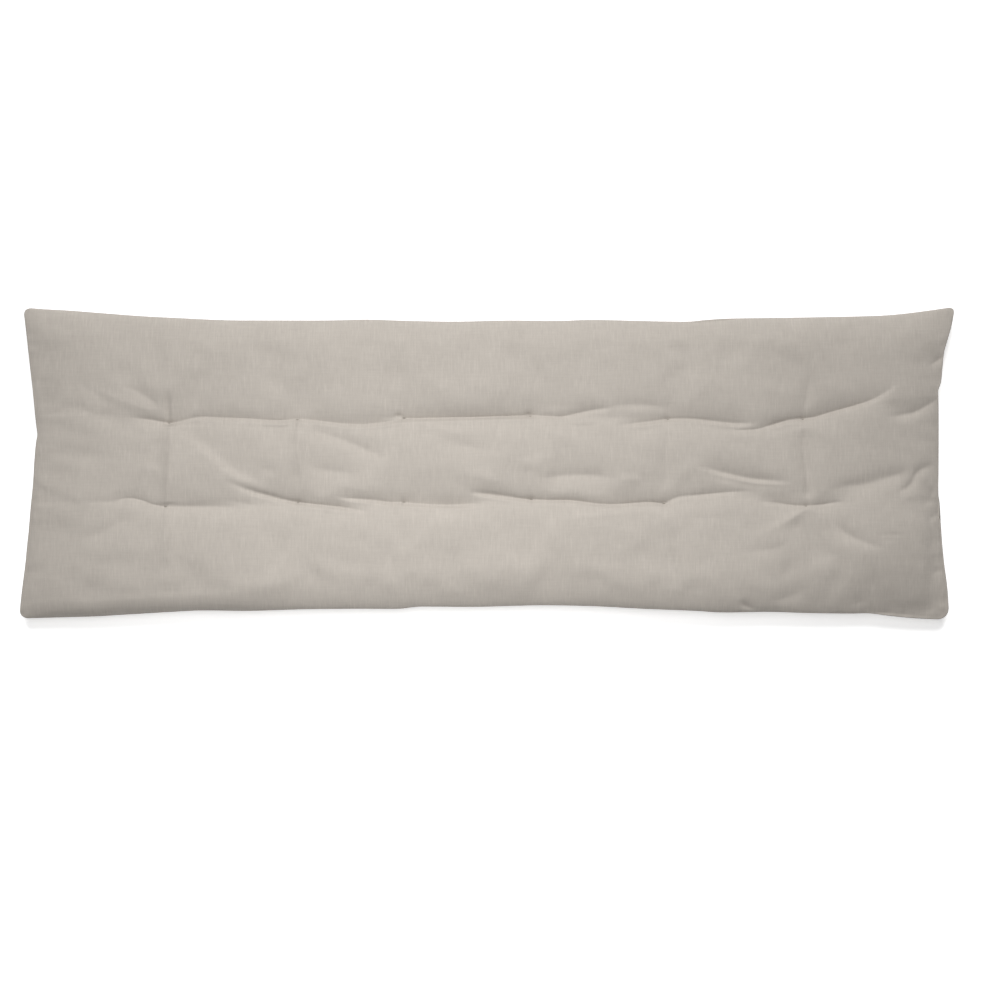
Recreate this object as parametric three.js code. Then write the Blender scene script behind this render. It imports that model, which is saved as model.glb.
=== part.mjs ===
// A long sofa cushion, lying on its back with its face up. Two equal panels of cloth are sewn together round
// the edge with a plain knife-edge seam and filled with loose fibre. Twelve stitches through the filling, in
// two rows of six, pinch the panels together and divide the face into three long lobes.
// Millimetres. X runs along the length, Y across the width and +Z is up, out of the face. The origin is the
// middle of the footprint, on the surface that the cushion lies on.

import * as THREE from "three";
import { mergeGeometries, mergeVertices } from "three/addons/utils/BufferGeometryUtils.js";

// Driving dimensions
const LENGTH = 1800; // between the corner tips, along X
const WIDTH = 602; // between the corner tips, along Y
const SEAM_HEIGHT = 40; // of the edge seam above the surface, midway along each side
const SEAM_WANDER = 2.5; // how far the seam wanders up and down along the sides
const CORNER_DROP = 12; // how much lower the seam lies at the four corners
const FACE_CROWN = 27; // of the face above the seam, without its channels
const BACK_CROWN = 48; // of the back below the seam, before the surface flattens it
const FACE_ROLL = { side: 80, end: 125, power: 1.65 }; // distances from a seam to where the face is level
const BACK_ROLL = { side: 98, end: 145, power: 1.8 }; // the same for the back; power 2 would leave the seam upright
const CONTACT_SOFTNESS = 4; // height over which the cloth leaves the surface

// Channels along the two rows of tufts, and the pinch at each tuft
const FACE_CHANNEL = { depth: 15, reach: 24, round: 3 };
const BACK_CHANNEL = { depth: 16, reach: 24, round: 3 };
const FACE_PINCH = { depth: 5, reach: 11, round: 4 };
const BACK_PINCH = { depth: 8, reach: 15, round: 4 };
const CHANNEL_FADE = 150; // length over which a channel dies out beyond its last tuft

// How far each edge is drawn in from the straight line between the corner tips. at is the place along the
// edge, from -LENGTH / 2 or -WIDTH / 2, and by is the distance.
const TOP_EDGE = [
  { at: -900, by: 1 }, { at: -780, by: 8 }, { at: -630, by: 19 }, { at: -480, by: 25 }, { at: -50, by: 28 },
  { at: 150, by: 25 }, { at: 380, by: 28 }, { at: 460, by: 23 }, { at: 680, by: 17 }, { at: 790, by: 12 },
  { at: 900, by: 0 },
];
const BOTTOM_EDGE = [
  { at: -900, by: 3 }, { at: -780, by: 8 }, { at: -630, by: 17 }, { at: -360, by: 18 }, { at: -170, by: 21 },
  { at: 120, by: 28 }, { at: 230, by: 26 }, { at: 310, by: 21 }, { at: 420, by: 15 }, { at: 680, by: 12 },
  { at: 760, by: 8 }, { at: 900, by: 0 },
];
const LEFT_EDGE = [
  { at: -301, by: 1 }, { at: -200, by: 12 }, { at: -80, by: 25 }, { at: 55, by: 34 }, { at: 210, by: 18 },
  { at: 301, by: 9 },
];
const RIGHT_EDGE = [
  { at: -301, by: 9 }, { at: -215, by: 20 }, { at: -60, by: 31 }, { at: 110, by: 31 }, { at: 205, by: 20 },
  { at: 301, by: 0 },
];
const CORNER_RADIUS = 18;

// The two rows of tufts, from the left, and the channel that joins them. A tuft is where tuft is true, and the
// points between show where the channel sags off the straight line.
const UPPER_ROW = [
  { x: -900, y: 97 }, { x: -730, y: 96 }, { x: -611, y: 81, tuft: true }, { x: -520, y: 91 },
  { x: -363, y: 87, tuft: true }, { x: -253, y: 81 }, { x: -159, y: 91, tuft: true },
  { x: 85, y: 94, tuft: true }, { x: 220, y: 92 }, { x: 349, y: 88, tuft: true }, { x: 497, y: 70 },
  { x: 609, y: 88, tuft: true }, { x: 700, y: 112 }, { x: 900, y: 140 },
];
const LOWER_ROW = [
  { x: -900, y: -84 }, { x: -700, y: -62 }, { x: -615, y: -79, tuft: true }, { x: -480, y: -76 },
  { x: -363, y: -72, tuft: true }, { x: -270, y: -76 }, { x: -159, y: -69, tuft: true }, { x: -80, y: -73 },
  { x: 86, y: -64, tuft: true }, { x: 190, y: -70 }, { x: 342, y: -72, tuft: true }, { x: 440, y: -56 },
  { x: 530, y: -60 }, { x: 613, y: -78, tuft: true }, { x: 730, y: -66 }, { x: 900, y: -60 },
];

// The main folds of the face. rise is the height of a ridge, or below zero the depth of a trough, and reach is
// how far it spreads to each side of its line, which runs through from, via and to.
const FACE_FOLDS = [
  { name: "left slanting pleat", rise: 5, reach: 20, from: [-590, 62], via: [-520, 18], to: [-430, -24] },
  { name: "trough under the pleat", rise: -6, reach: 14, from: [-510, -30], via: [-430, -52], to: [-350, -74] },
  { name: "left upper fan", rise: -3, reach: 18, from: [-620, 96], via: [-680, 130], to: [-760, 152] },
  { name: "right rising trough", rise: -7, reach: 22, from: [640, 92], via: [715, 118], to: [800, 168] },
  { name: "tent, left side", rise: -4, reach: 18, from: [606, -90], via: [545, -132], to: [478, -152] },
  { name: "tent, right side", rise: -5, reach: 18, from: [636, -92], via: [680, -136], to: [730, -158] },
  { name: "middle dent, centre", rise: -5, reach: 18, from: [95, -24], via: [180, -4], to: [255, -22] },
  { name: "middle dent, right", rise: -5, reach: 16, from: [445, -8], via: [510, -22], to: [575, -30] },
  { name: "end dent, right", rise: -5, reach: 26, from: [665, -44], via: [745, -12], to: [820, -16] },
  { name: "seam fold, upper right", rise: -5, reach: 15, from: [785, 94], via: [830, 108], to: [862, 126] },
  { name: "seam fold, left", rise: -3, reach: 15, from: [-864, -40], via: [-850, -52], to: [-825, -64] },
];

// Divisions of the mesh: across an outer lobe and the middle one, and along an end and the run between tufts
const OUTER_LOBE_STEPS = 11;
const MIDDLE_LOBE_STEPS = 8;
const END_STEPS = 12;
const BAY_STEPS = 13;
const FOLD_SAMPLES = 12;

const CLOTH_COLOUR = 0xb8afa6;

// A smooth height y over x through a table's points: a cubic between each two, with the slope at a point taken
// from its neighbours.
function curveThrough(points, inKey, outKey) {
  const x = points.map((p) => p[inKey]);
  const y = points.map((p) => p[outKey]);
  const last = x.length - 1;
  const slope = x.map((_, i) => {
    const before = Math.max(i - 1, 0);
    const after = Math.min(i + 1, last);
    return (y[after] - y[before]) / (x[after] - x[before]);
  });
  return (at) => {
    const place = THREE.MathUtils.clamp(at, x[0], x[last]);
    const i = Math.max(0, Math.min(last - 1, x.findIndex((value) => value > place) - 1));
    const k = place >= x[last] ? last - 1 : i;
    const span = x[k + 1] - x[k];
    const t = (place - x[k]) / span;
    const rest = 1 - t;
    return (
      rest * rest * ((1 + 2 * t) * y[k] + t * span * slope[k]) +
      t * t * ((3 - 2 * t) * y[k + 1] - rest * span * slope[k + 1])
    );
  };
}

const topEdge = curveThrough(TOP_EDGE, "at", "by");
const bottomEdge = curveThrough(BOTTOM_EDGE, "at", "by");
const leftEdge = curveThrough(LEFT_EDGE, "at", "by");
const rightEdge = curveThrough(RIGHT_EDGE, "at", "by");
const upperRow = curveThrough(UPPER_ROW, "x", "y");
const lowerRow = curveThrough(LOWER_ROW, "x", "y");
const upperTufts = UPPER_ROW.filter((p) => p.tuft);
const lowerTufts = LOWER_ROW.filter((p) => p.tuft);
const tufts = [...upperTufts, ...lowerTufts];

// Stations from 0 to 1, half of them even and half crowded towards both ends.
function gradedStations(steps) {
  return Array.from({ length: steps + 1 }, (_, i) => {
    const even = i / steps;
    const crowded = (1 - Math.cos(Math.PI * even)) / 2;
    return (even + crowded) / 2;
  });
}

// Joins runs of stations, each scaled to its own whole step, into one rising list.
function joinRuns(stepCounts) {
  const all = [0];
  stepCounts.forEach((steps, run) => {
    gradedStations(steps).slice(1).forEach((s) => all.push(run + s));
  });
  return all;
}

const alongStations = joinRuns([END_STEPS, ...Array(upperTufts.length - 1).fill(BAY_STEPS), END_STEPS]);
const acrossStations = joinRuns([OUTER_LOBE_STEPS, MIDDLE_LOBE_STEPS, OUTER_LOBE_STEPS]);

// The value at a station of a list that holds one value for each whole step.
function between(values, station) {
  const i = Math.min(Math.floor(station), values.length - 2);
  return THREE.MathUtils.lerp(values[i], values[i + 1], station - i);
}

// Pulls a point of the outline's square corner onto a round one, and what lies inside it in proportion.
function roundCorner(x, y, cornerX, cornerY) {
  const a = (Math.abs(x) - (Math.abs(cornerX) - CORNER_RADIUS)) / CORNER_RADIUS;
  const b = (Math.abs(y) - (Math.abs(cornerY) - CORNER_RADIUS)) / CORNER_RADIUS;
  if (a <= 0 || b <= 0) return [x, y];
  const shrink = CORNER_RADIUS;
  const dx = shrink * (a - a * Math.sqrt(1 - (b * b) / 2));
  const dy = shrink * (b - b * Math.sqrt(1 - (a * a) / 2));
  return [x - Math.sign(x) * dx, y - Math.sign(y) * dy];
}

// The place of a grid point seen from above. Grid lines follow the seams, the rows of tufts and their columns.
function plan(along, across) {
  const lastBay = upperTufts.length + 1;
  const share = THREE.MathUtils.clamp(across - 1, 0, 1);
  const columns = upperTufts.map((p, i) => THREE.MathUtils.lerp(lowerTufts[i].x, p.x, share));
  const roughY = THREE.MathUtils.lerp(-WIDTH / 2, WIDTH / 2, across / 3);
  const left = -LENGTH / 2 + leftEdge(roughY);
  const right = LENGTH / 2 - rightEdge(roughY);
  const x = between([left, ...columns, right], Math.min(along, lastBay));
  const bottom = -WIDTH / 2 + bottomEdge(x);
  const top = WIDTH / 2 - topEdge(x);
  const y = between([bottom, lowerRow(x), upperRow(x), top], across);
  return roundCorner(x, y, x < 0 ? left : right, y < 0 ? bottom : top);
}

// The rounded profile from a seam inwards: the share of the full height at a distance from the seam, whole
// from reach on.
function roll(distance, reach, power) {
  const rest = 1 - THREE.MathUtils.clamp(distance / reach, 0, 1);
  return Math.pow(1 - Math.pow(rest, power), 1 / power);
}

// A rounded cusp: 1 on its line, falling off with distance.
function cusp(distance, shape) {
  return Math.exp(-(Math.hypot(distance, shape.round) - shape.round) / shape.reach);
}

// How much of a channel is there at x: whole between the outer tufts, dying out beyond them.
function channelShare(x) {
  const beyond = Math.max(upperTufts[0].x - x, x - upperTufts.at(-1).x, 0);
  return 1 - THREE.MathUtils.smoothstep(beyond, 0, CHANNEL_FADE);
}

// Depth of the two channels and the twelve pinches at a point.
function tuftedDepth(x, y, channel, pinch) {
  const rows = cusp(y - upperRow(x), channel) + cusp(y - lowerRow(x), channel);
  const pinches = tufts.map((p) => cusp(Math.hypot(x - p.x, y - p.y), pinch));
  return channel.depth * channelShare(x) * rows + pinch.depth * Math.max(...pinches);
}

const foldLines = FACE_FOLDS.map((fold) => {
  const ends = [fold.from, fold.via, fold.to].map(([x, y]) => new THREE.Vector2(x, y));
  return { ...fold, points: new THREE.SplineCurve(ends).getPoints(FOLD_SAMPLES) };
});

// Height that the folds add at a point. A fold is full in the middle of its line and dies out at its ends.
function foldHeight(x, y) {
  const here = new THREE.Vector2(x, y);
  return foldLines.reduce((sum, fold) => {
    const away = fold.points.map((p) => p.distanceTo(here));
    const nearest = away.indexOf(Math.min(...away));
    const swell = Math.sin((Math.PI * (nearest + 0.5)) / (FOLD_SAMPLES + 1));
    const spread = away[nearest] / fold.reach;
    return sum + fold.rise * swell * Math.exp(-spread * spread);
  }, 0);
}

// Holds a depth at or under a limit, turning over gently just below it.
function softLimit(depth, limit, softness) {
  const over = depth - (limit - softness);
  if (over <= 0) return depth;
  return over >= 2 * softness ? limit : depth - (over * over) / (4 * softness);
}

// Shares of the full height that the rolls at the sides and at the ends leave at a grid point.
function rollShare(along, across, x, y, shape) {
  const side = across > 1.5 ? WIDTH / 2 - topEdge(x) - y : y + WIDTH / 2 - bottomEdge(x);
  const end = x > 0 ? LENGTH / 2 - rightEdge(y) - x : x + LENGTH / 2 - leftEdge(y);
  const onSeam = along === 0 || across === 0 || along === upperTufts.length + 1 || across === 3;
  return onSeam ? 0 : roll(side, shape.side, shape.power) * roll(end, shape.end, shape.power);
}

// Height of the seam's surface, on which both panels are built. It wanders along the sides and drops at the
// corners.
function seamHeight(x, y) {
  const cornering = Math.pow(Math.abs((2 * x) / LENGTH), 4) * Math.pow(Math.abs((2 * y) / WIDTH), 4);
  const wander = Math.sin(x / 118 + y / 160) * Math.pow((2 * y) / WIDTH, 2) + Math.sin(y / 75) * (x / LENGTH);
  return SEAM_HEIGHT - CORNER_DROP * cornering + SEAM_WANDER * wander;
}

function faceHeight(along, across, x, y) {
  const share = rollShare(along, across, x, y, FACE_ROLL);
  const crown = FACE_CROWN - tuftedDepth(x, y, FACE_CHANNEL, FACE_PINCH) + foldHeight(x, y);
  return seamHeight(x, y) + share * crown;
}

function backHeight(along, across, x, y) {
  const share = rollShare(along, across, x, y, BACK_ROLL);
  const depth = share * (BACK_CROWN - tuftedDepth(x, y, BACK_CHANNEL, BACK_PINCH));
  const seam = seamHeight(x, y);
  return seam - softLimit(depth, seam, CONTACT_SOFTNESS);
}

// One panel: a plane of grid points, each moved to its place. flip turns the back panel's faces downwards.
function panel(heightAt, flip) {
  const columns = alongStations.length;
  const sheet = new THREE.PlaneGeometry(1, 1, columns - 1, acrossStations.length - 1);
  const position = sheet.getAttribute("position");
  for (let i = 0; i < position.count; i++) {
    const along = alongStations[i % columns];
    const across = acrossStations[acrossStations.length - 1 - Math.floor(i / columns)];
    const [x, y] = plan(along, across);
    position.setXYZ(i, x, y, heightAt(along, across, x, y));
  }
  if (flip) sheet.index.array.reverse();
  sheet.deleteAttribute("normal");
  sheet.deleteAttribute("uv");
  return sheet;
}

function cushion() {
  const shell = mergeVertices(mergeGeometries([panel(faceHeight, false), panel(backHeight, true)]));
  shell.computeBoundingBox();
  const middle = shell.boundingBox.getCenter(new THREE.Vector3());
  shell.translate(-middle.x, -middle.y, -shell.boundingBox.min.z);
  shell.computeVertexNormals();
  const cloth = new THREE.MeshStandardMaterial({ color: CLOTH_COLOUR, roughness: 0.95, metalness: 0 });
  const mesh = new THREE.Mesh(shell, cloth);
  mesh.name = "cushion";
  return mesh;
}

const sofaCushion = new THREE.Group();
sofaCushion.add(cushion());

export default sofaCushion;
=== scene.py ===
"""A long tufted sofa cushion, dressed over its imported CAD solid.

The cushion lies on its back on a pale floor, with its face up and the camera straight above it. X runs along
the length, Y across the width and Z up. The tables below are in millimetres on the finished cushion, and the
meshes are in metres.
"""

import logging
import math
from dataclasses import dataclass, field
from enum import Enum
from typing import Callable

import bpy
import numpy as np
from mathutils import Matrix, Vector


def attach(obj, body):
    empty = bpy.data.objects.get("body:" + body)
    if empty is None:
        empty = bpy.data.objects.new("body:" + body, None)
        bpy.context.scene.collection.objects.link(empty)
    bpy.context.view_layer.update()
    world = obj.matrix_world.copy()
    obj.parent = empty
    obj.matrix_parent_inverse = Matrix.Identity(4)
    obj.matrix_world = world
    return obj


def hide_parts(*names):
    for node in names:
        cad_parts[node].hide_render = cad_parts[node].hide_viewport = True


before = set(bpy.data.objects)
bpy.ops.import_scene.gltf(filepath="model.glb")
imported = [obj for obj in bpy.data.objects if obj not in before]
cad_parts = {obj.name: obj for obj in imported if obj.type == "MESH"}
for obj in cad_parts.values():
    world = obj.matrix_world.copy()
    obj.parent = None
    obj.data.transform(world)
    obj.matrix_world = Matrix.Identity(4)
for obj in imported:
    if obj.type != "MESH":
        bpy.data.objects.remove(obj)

LOG = logging.getLogger("cushion")
MM = 0.001
# The tables of folds and tufts give the places of their shade, as seen from the camera at the seam's height.
# The face lies about 20 mm nearer to the camera, which makes it look larger, so places along it are drawn in
# by this share. The light comes from above the upper seam, so a fold's line runs a little below its shade.
DRAWN_IN = 0.9955
SHADE_ABOVE = 4.0
# Half the length and half the width, between the corner tips.
HALF_LENGTH = 900
HALF_WIDTH = 301
# Reach of the narrow nip right on a fold's line, and the rounding of its tip.
NIP_REACH = 1.8
NIP_ROUNDING = 0.5
# How far from its line a trough's lip rolls up, and how widely.
LIP_OFF = 7
LIP_WIDTH = 4
# Name of the map that lays the weave on a mesh.
WEAVE_MAP = "cloth"

Array = np.ndarray
Points = tuple[tuple[float, float], ...]


class Panel(Enum):
    """The two panels of cloth that the cover is sewn from."""

    FACE = "face"
    BACK = "back"


class Row(Enum):
    """The two rows of tufts, which part the cushion into three lobes."""

    UPPER = "upper"
    LOWER = "lower"


def curve_through(points: Points) -> Callable[[Array], Array]:
    """Make a smooth curve through a table of points.

    Between each two points runs the cubic that has their heights and, at each, the slope of the line from the
    point before it to the point after it. Beyond the table the end heights hold.

    Args:
        points: Pairs of place and height, with the places rising.

    Returns:
        A function of an array of places that gives the heights.
    """
    place, height = np.array(points, float).T
    before = np.maximum(np.arange(len(place)) - 1, 0)
    after = np.minimum(np.arange(len(place)) + 1, len(place) - 1)
    slope = (height[after] - height[before]) / (place[after] - place[before])

    def curve(at: Array) -> Array:
        """Give the curve's heights.

        Args:
            at: The places.

        Returns:
            The height at each place.
        """
        at = np.clip(at, place[0], place[-1])
        k = np.clip(np.searchsorted(place, at, side="right") - 1, 0, len(place) - 2)
        span = place[k + 1] - place[k]
        t = (at - place[k]) / span
        rest = 1 - t
        first = rest**2 * ((1 + 2 * t) * height[k] + t * span * slope[k])
        second = t**2 * ((3 - 2 * t) * height[k + 1] - rest * span * slope[k + 1])
        return first + second

    return curve


def smooth_step(t: Array) -> Array:
    """Rise from 0 to 1 as t does, level at both ends: three t squared less two t cubed."""
    t = np.clip(t, 0, 1)
    return t * t * (3 - 2 * t)


# A cusp's value is e to the power of minus the softened distance over the reach. The softened distance is the
# root of distance squared plus rounding squared, less the rounding.
def cusp(distance: Array, reach: Array | float, rounding: float) -> Array:
    """Fall from 1 on a line towards 0 away from it, with a rounded tip."""
    return np.exp(-(np.hypot(distance, rounding) - rounding) / reach)


def union(shapes: list[Array]) -> Array:
    """Join shapes so that where they meet the larger holds: the cube root of the sum of their cubes."""
    return np.cbrt(sum(shape**3 for shape in shapes))


def ripple(x: Array, y: Array, wavelength: float, seed: int, stretch: float = 1.0) -> Array:
    """Make soft, irregular waves over the plane.

    The height is the sum of twenty plane waves in random directions and phases, with lengths spread from two
    thirds of the wavelength to one and a half times it, divided by the root of ten to bring its spread to 1.

    Args:
        x: Places along the length.
        y: Places across the width.
        wavelength: Middle wavelength, in the unit of x and y.
        seed: Picks the directions and phases.
        stretch: How many times longer the waves are along x.

    Returns:
        The height at each place, mostly from -1.5 to 1.5.
    """
    random = np.random.default_rng(seed)
    count = 20
    spread = 0.4
    heading = random.uniform(0, math.pi, count)
    pitch = wavelength * np.exp(random.uniform(-spread, spread, count))
    phase = random.uniform(0, math.tau, count)
    total = np.zeros(np.broadcast(x, y).shape)
    for a, p, f in zip(heading, pitch, phase):
        total += np.sin(math.tau / p * (x / stretch * math.cos(a) + y * math.sin(a)) + f)
    return total / math.sqrt(count / 2)


def graded(steps: int, first: float, last: float) -> Array:
    """Divide the run from 0 to 1 into steps that are short at its ends.

    The steps grow to a middle one's length over about a fifth of the run.

    Args:
        steps: Number of steps.
        first: Length of the first step as a share of a middle one.
        last: The same for the last step.

    Returns:
        The steps + 1 stations.
    """
    growth = 0.07
    t = (np.arange(steps) + 0.5) / steps
    length = 1 - (1 - first) * np.exp(-t / growth) - (1 - last) * np.exp(-(1 - t) / growth)
    return np.concatenate([[0.0], np.cumsum(length) / length.sum()])


@dataclass(frozen=True)
class Crease:
    """One fold of the cloth along a line that runs from left to right, or upwards.

    Attributes:
        name: What the fold is.
        rise: Height of a ridge, or below zero the depth of a trough, in millimetres.
        above: Reach of the slope on the upper side of the line, or on the left of one that runs upwards.
        below: Reach of the slope on the other side.
        path: Points that the line goes through.
        fade_in: Share of the line over which the fold grows from its first point.
        fade_out: Share of the line over which it dies out towards its last.
        rounding: Radius of the fold's edge.
        core: Extra height right on the line, where the cloth is nipped.
        lip: Height of a trough's rolled edge, on its lower side.
    """

    name: str
    rise: float
    above: float
    below: float
    path: Points
    fade_in: float = 0.3
    fade_out: float = 0.3
    rounding: float = 2.0
    core: float = 0.0
    lip: float = 0.0

    def line(self, samples: int = 28) -> Array:
        """Sample the path as a smooth curve, by the run of its chords.

        Args:
            samples: Number of points.

        Returns:
            The points, as rows of x and y.
        """
        points = np.array(self.path, float)
        run = np.concatenate([[0.0], np.cumsum(np.hypot(*np.diff(points, axis=0).T))])
        at = np.linspace(0, run[-1], samples)
        along = curve_through(tuple(zip(run, points[:, 0])))(at)
        across = curve_through(tuple(zip(run, points[:, 1])))(at)
        return np.column_stack([along, across])

    def height(self, x: Array, y: Array) -> Array:
        """Give the fold's height over the plane.

        It is a cusp of the distance to the line, with one reach above the line and another below, plus the
        core's narrow one, less the lip's bell curve, times a swell that grows over fade_in and dies out over
        fade_out. Beyond six reaches it is left out.

        Args:
            x: Places along the length.
            y: Places across the width.

        Returns:
            The height without its sign, in millimetres.
        """
        line = self.line()
        start, step = line[:-1], np.diff(line, axis=0)
        reaches = 6
        margin = reaches * max(self.above, self.below)
        low, high = line.min(0) - margin, line.max(0) + margin
        near = (x > low[0]) & (x < high[0]) & (y > low[1]) & (y < high[1])
        out = np.zeros(x.shape)
        if not near.any():
            return out
        off_x, off_y = x[near][:, None] - start[:, 0], y[near][:, None] - start[:, 1]
        length = np.hypot(step[:, 0], step[:, 1])
        share = np.clip((off_x * step[:, 0] + off_y * step[:, 1]) / length**2, 0, 1)
        away_x, away_y = off_x - share * step[:, 0], off_y - share * step[:, 1]
        away = np.hypot(away_x, away_y)
        k = away.argmin(axis=1)
        rows = np.arange(len(k))
        distance = away[rows, k]
        left = step[k, 0] * away_y[rows, k] - step[k, 1] * away_x[rows, k] > 0
        t = (k + share[rows, k]) / len(step)
        swell = np.ones(len(t))
        if self.fade_in:
            swell = smooth_step(t / self.fade_in)
        if self.fade_out:
            swell = swell * smooth_step((1 - t) / self.fade_out)
        reach = np.where(left, self.above, self.below)
        nipped = self.core * cusp(distance, NIP_REACH, NIP_ROUNDING)
        rolled = np.where(left, 0, self.lip * np.exp(-(((distance - LIP_OFF) / LIP_WIDTH) ** 2)))
        out[near] = swell * (abs(self.rise) * cusp(distance, reach, self.rounding) + nipped - rolled)
        return out


def trough(name: str, depth: float, above: float, below: float, path: Points, **more: float) -> Crease:
    """Name a crease that is a trough of the given depth."""
    return Crease(name, -depth, above, below, path, **more)


def ridge(name: str, rise: float, above: float, below: float, path: Points, **more: float) -> Crease:
    """Name a crease that is a ridge of the given height."""
    return Crease(name, rise, above, below, path, **more)


# The sharp bottoms of the two channels. Between some tufts the cloth falls into two that overlap.
CHANNEL_CREASES = (
    trough("upper row, left tail", 6, 10, 9, ((-695, 91), (-662, 89), (-634, 85), (-611, 81)),
           fade_in=0.7, fade_out=0, core=1.5),
    trough("upper row, bay 1", 5.5, 24, 8, ((-611, 81), (-592, 83), (-574, 88), (-552, 92), (-510, 91),
           (-460, 89), (-430, 87), (-400, 86), (-363, 88)), fade_in=0, fade_out=0, rounding=1, core=1.4,
           lip=1.6),
    trough("upper row, bay 2", 7.5, 28, 9, ((-363, 88), (-330, 86), (-300, 82), (-270, 79), (-240, 78),
           (-205, 81), (-180, 85), (-159, 89)), fade_in=0, fade_out=0, rounding=1, core=0.8, lip=2.0),
    trough("upper row, tuft 1 nip", 3, 5, 5, ((-645, 87), (-625, 83), (-611, 81), (-588, 81)), core=2.5,
           rounding=1),
    trough("upper row, tuft 2 nip", 2.5, 6, 6, ((-450, 88), (-415, 85), (-385, 85), (-363, 88), (-325, 86)),
           rounding=1, core=2.2, lip=2.2),
    trough("upper row, tuft 3 tail", 3, 5, 5, ((-218, 92), (-190, 92), (-159, 90)), fade_in=0.5, fade_out=0,
           rounding=1, core=2),
    trough("upper row, bay 3", 9.5, 26, 6, ((-159, 89), (-120, 90), (-70, 91), (-20, 92), (40, 94), (85, 95)),
           fade_in=0, fade_out=0, rounding=1, core=2.2, lip=1.8),
    trough("upper row, bay 4 left", 7, 14, 8, ((85, 95), (120, 94), (146, 93), (170, 98), (205, 105),
           (240, 110), (262, 113)), fade_in=0, fade_out=0.35, rounding=1.2, core=1.2, lip=0.8),
    trough("upper row, bay 4 pleat", 4.8, 16, 14, ((215, 110), (240, 113), (270, 115), (310, 115), (338, 110),
           (350, 96)), fade_in=0.3, fade_out=0.1),
    trough("upper row, bay 4 faint pleat", 2.4, 12, 12, ((92, 112), (130, 113), (165, 113), (200, 111))),
    trough("upper row, bay 4 right", 6.5, 16, 8, ((240, 75), (285, 80), (318, 84), (349, 88)),
           fade_in=0.6, fade_out=0, rounding=1, core=1.6, lip=2.0),
    trough("upper row, bay 5 left", 6.5, 20, 7, ((349, 88), (370, 89), (400, 88), (440, 84), (480, 80),
           (525, 81)), fade_in=0, fade_out=0.3, rounding=1, core=1.8, lip=1.1),
    trough("upper row, bay 5 fine", 2, 4, 6, ((463, 68), (490, 67), (520, 69), (548, 76)), rounding=1,
           core=1),
    trough("upper row, bay 5 right", 8, 13, 7, ((510, 69), (535, 73), (555, 79), (580, 86), (609, 89)),
           fade_in=0.5, fade_out=0, rounding=1, core=1.8, lip=1.6),
    trough("upper row, right tail", 9.5, 20, 8, ((609, 89), (630, 92), (660, 101), (700, 112), (740, 125),
           (770, 143), (800, 166)), fade_in=0, fade_out=0.5, rounding=1.5, core=1.2, lip=1.1),
    trough("lower row, left tail", 4, 14, 9, ((-790, -70), (-720, -70), (-690, -63), (-665, -66),
           (-640, -75), (-615, -79)), fade_in=0.8, fade_out=0, core=1.5),
    trough("lower row, bay 1 left", 4, 12, 9, ((-615, -79), (-580, -79), (-540, -79), (-490, -80),
           (-430, -84)), fade_in=0, fade_out=0.7),
    trough("lower row, bay 1 middle", 1.6, 9, 7, ((-530, -68), (-480, -70), (-450, -76), (-425, -82))),
    trough("lower row, bay 1 pleat", 8, 10, 6, ((-512, -24), (-480, -38), (-450, -50), (-420, -58),
           (-390, -66), (-363, -71)), fade_in=0.6, fade_out=0, rounding=1, core=2, lip=1.1),
    trough("lower row, bay 2 left", 7.5, 12, 6, ((-363, -71), (-330, -75), (-300, -78), (-270, -82),
           (-240, -87), (-205, -94)), fade_in=0, fade_out=0.55, rounding=1, core=1.8, lip=2.2),
    trough("lower row, bay 2 right", 6.5, 14, 6, ((-305, -59), (-260, -64), (-220, -67), (-185, -71),
           (-159, -72)), fade_in=0.4, fade_out=0, rounding=1, core=1.5, lip=1.9),
    trough("lower row, bay 3 left", 9, 24, 8, ((-159, -72), (-130, -74), (-90, -76), (-50, -76), (5, -72)),
           fade_in=0, fade_out=0.35, rounding=1, core=1, lip=2.2),
    trough("lower row, bay 3 right", 7.5, 10, 6, ((-50, -50), (-10, -54), (25, -58), (60, -63), (86, -66)),
           fade_in=0.4, fade_out=0, rounding=1, core=1.8, lip=1.6),
    trough("lower row, bay 4", 7.5, 11, 6, ((86, -66), (120, -67), (160, -67), (185, -70), (215, -74),
           (250, -75), (290, -72), (315, -71), (342, -74)), fade_in=0, fade_out=0, rounding=1, core=1.6,
           lip=1.1),
    ridge("lower row, bay 4 lip", 2.4, 7, 14, ((120, -107), (170, -100), (220, -94), (280, -89), (340, -85)),
          rounding=2),
    trough("lower row, bay 5 left", 5, 11, 8, ((342, -74), (356, -66), (372, -60), (400, -58), (430, -55),
           (470, -51), (505, -50), (545, -54)), fade_in=0, fade_out=0.6, core=1, lip=1.1),
    trough("lower row, bay 5 right", 4.5, 10, 7, ((500, -67), (530, -70), (560, -73), (590, -77), (614, -78)),
           fade_in=0.6, fade_out=0, rounding=1, core=1.4, lip=1.1),
    trough("lower row, right tail", 4.5, 10, 7, ((614, -78), (640, -76), (665, -72), (700, -67)),
           fade_in=0, fade_out=0.6, rounding=1, core=1.4),
)

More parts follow.
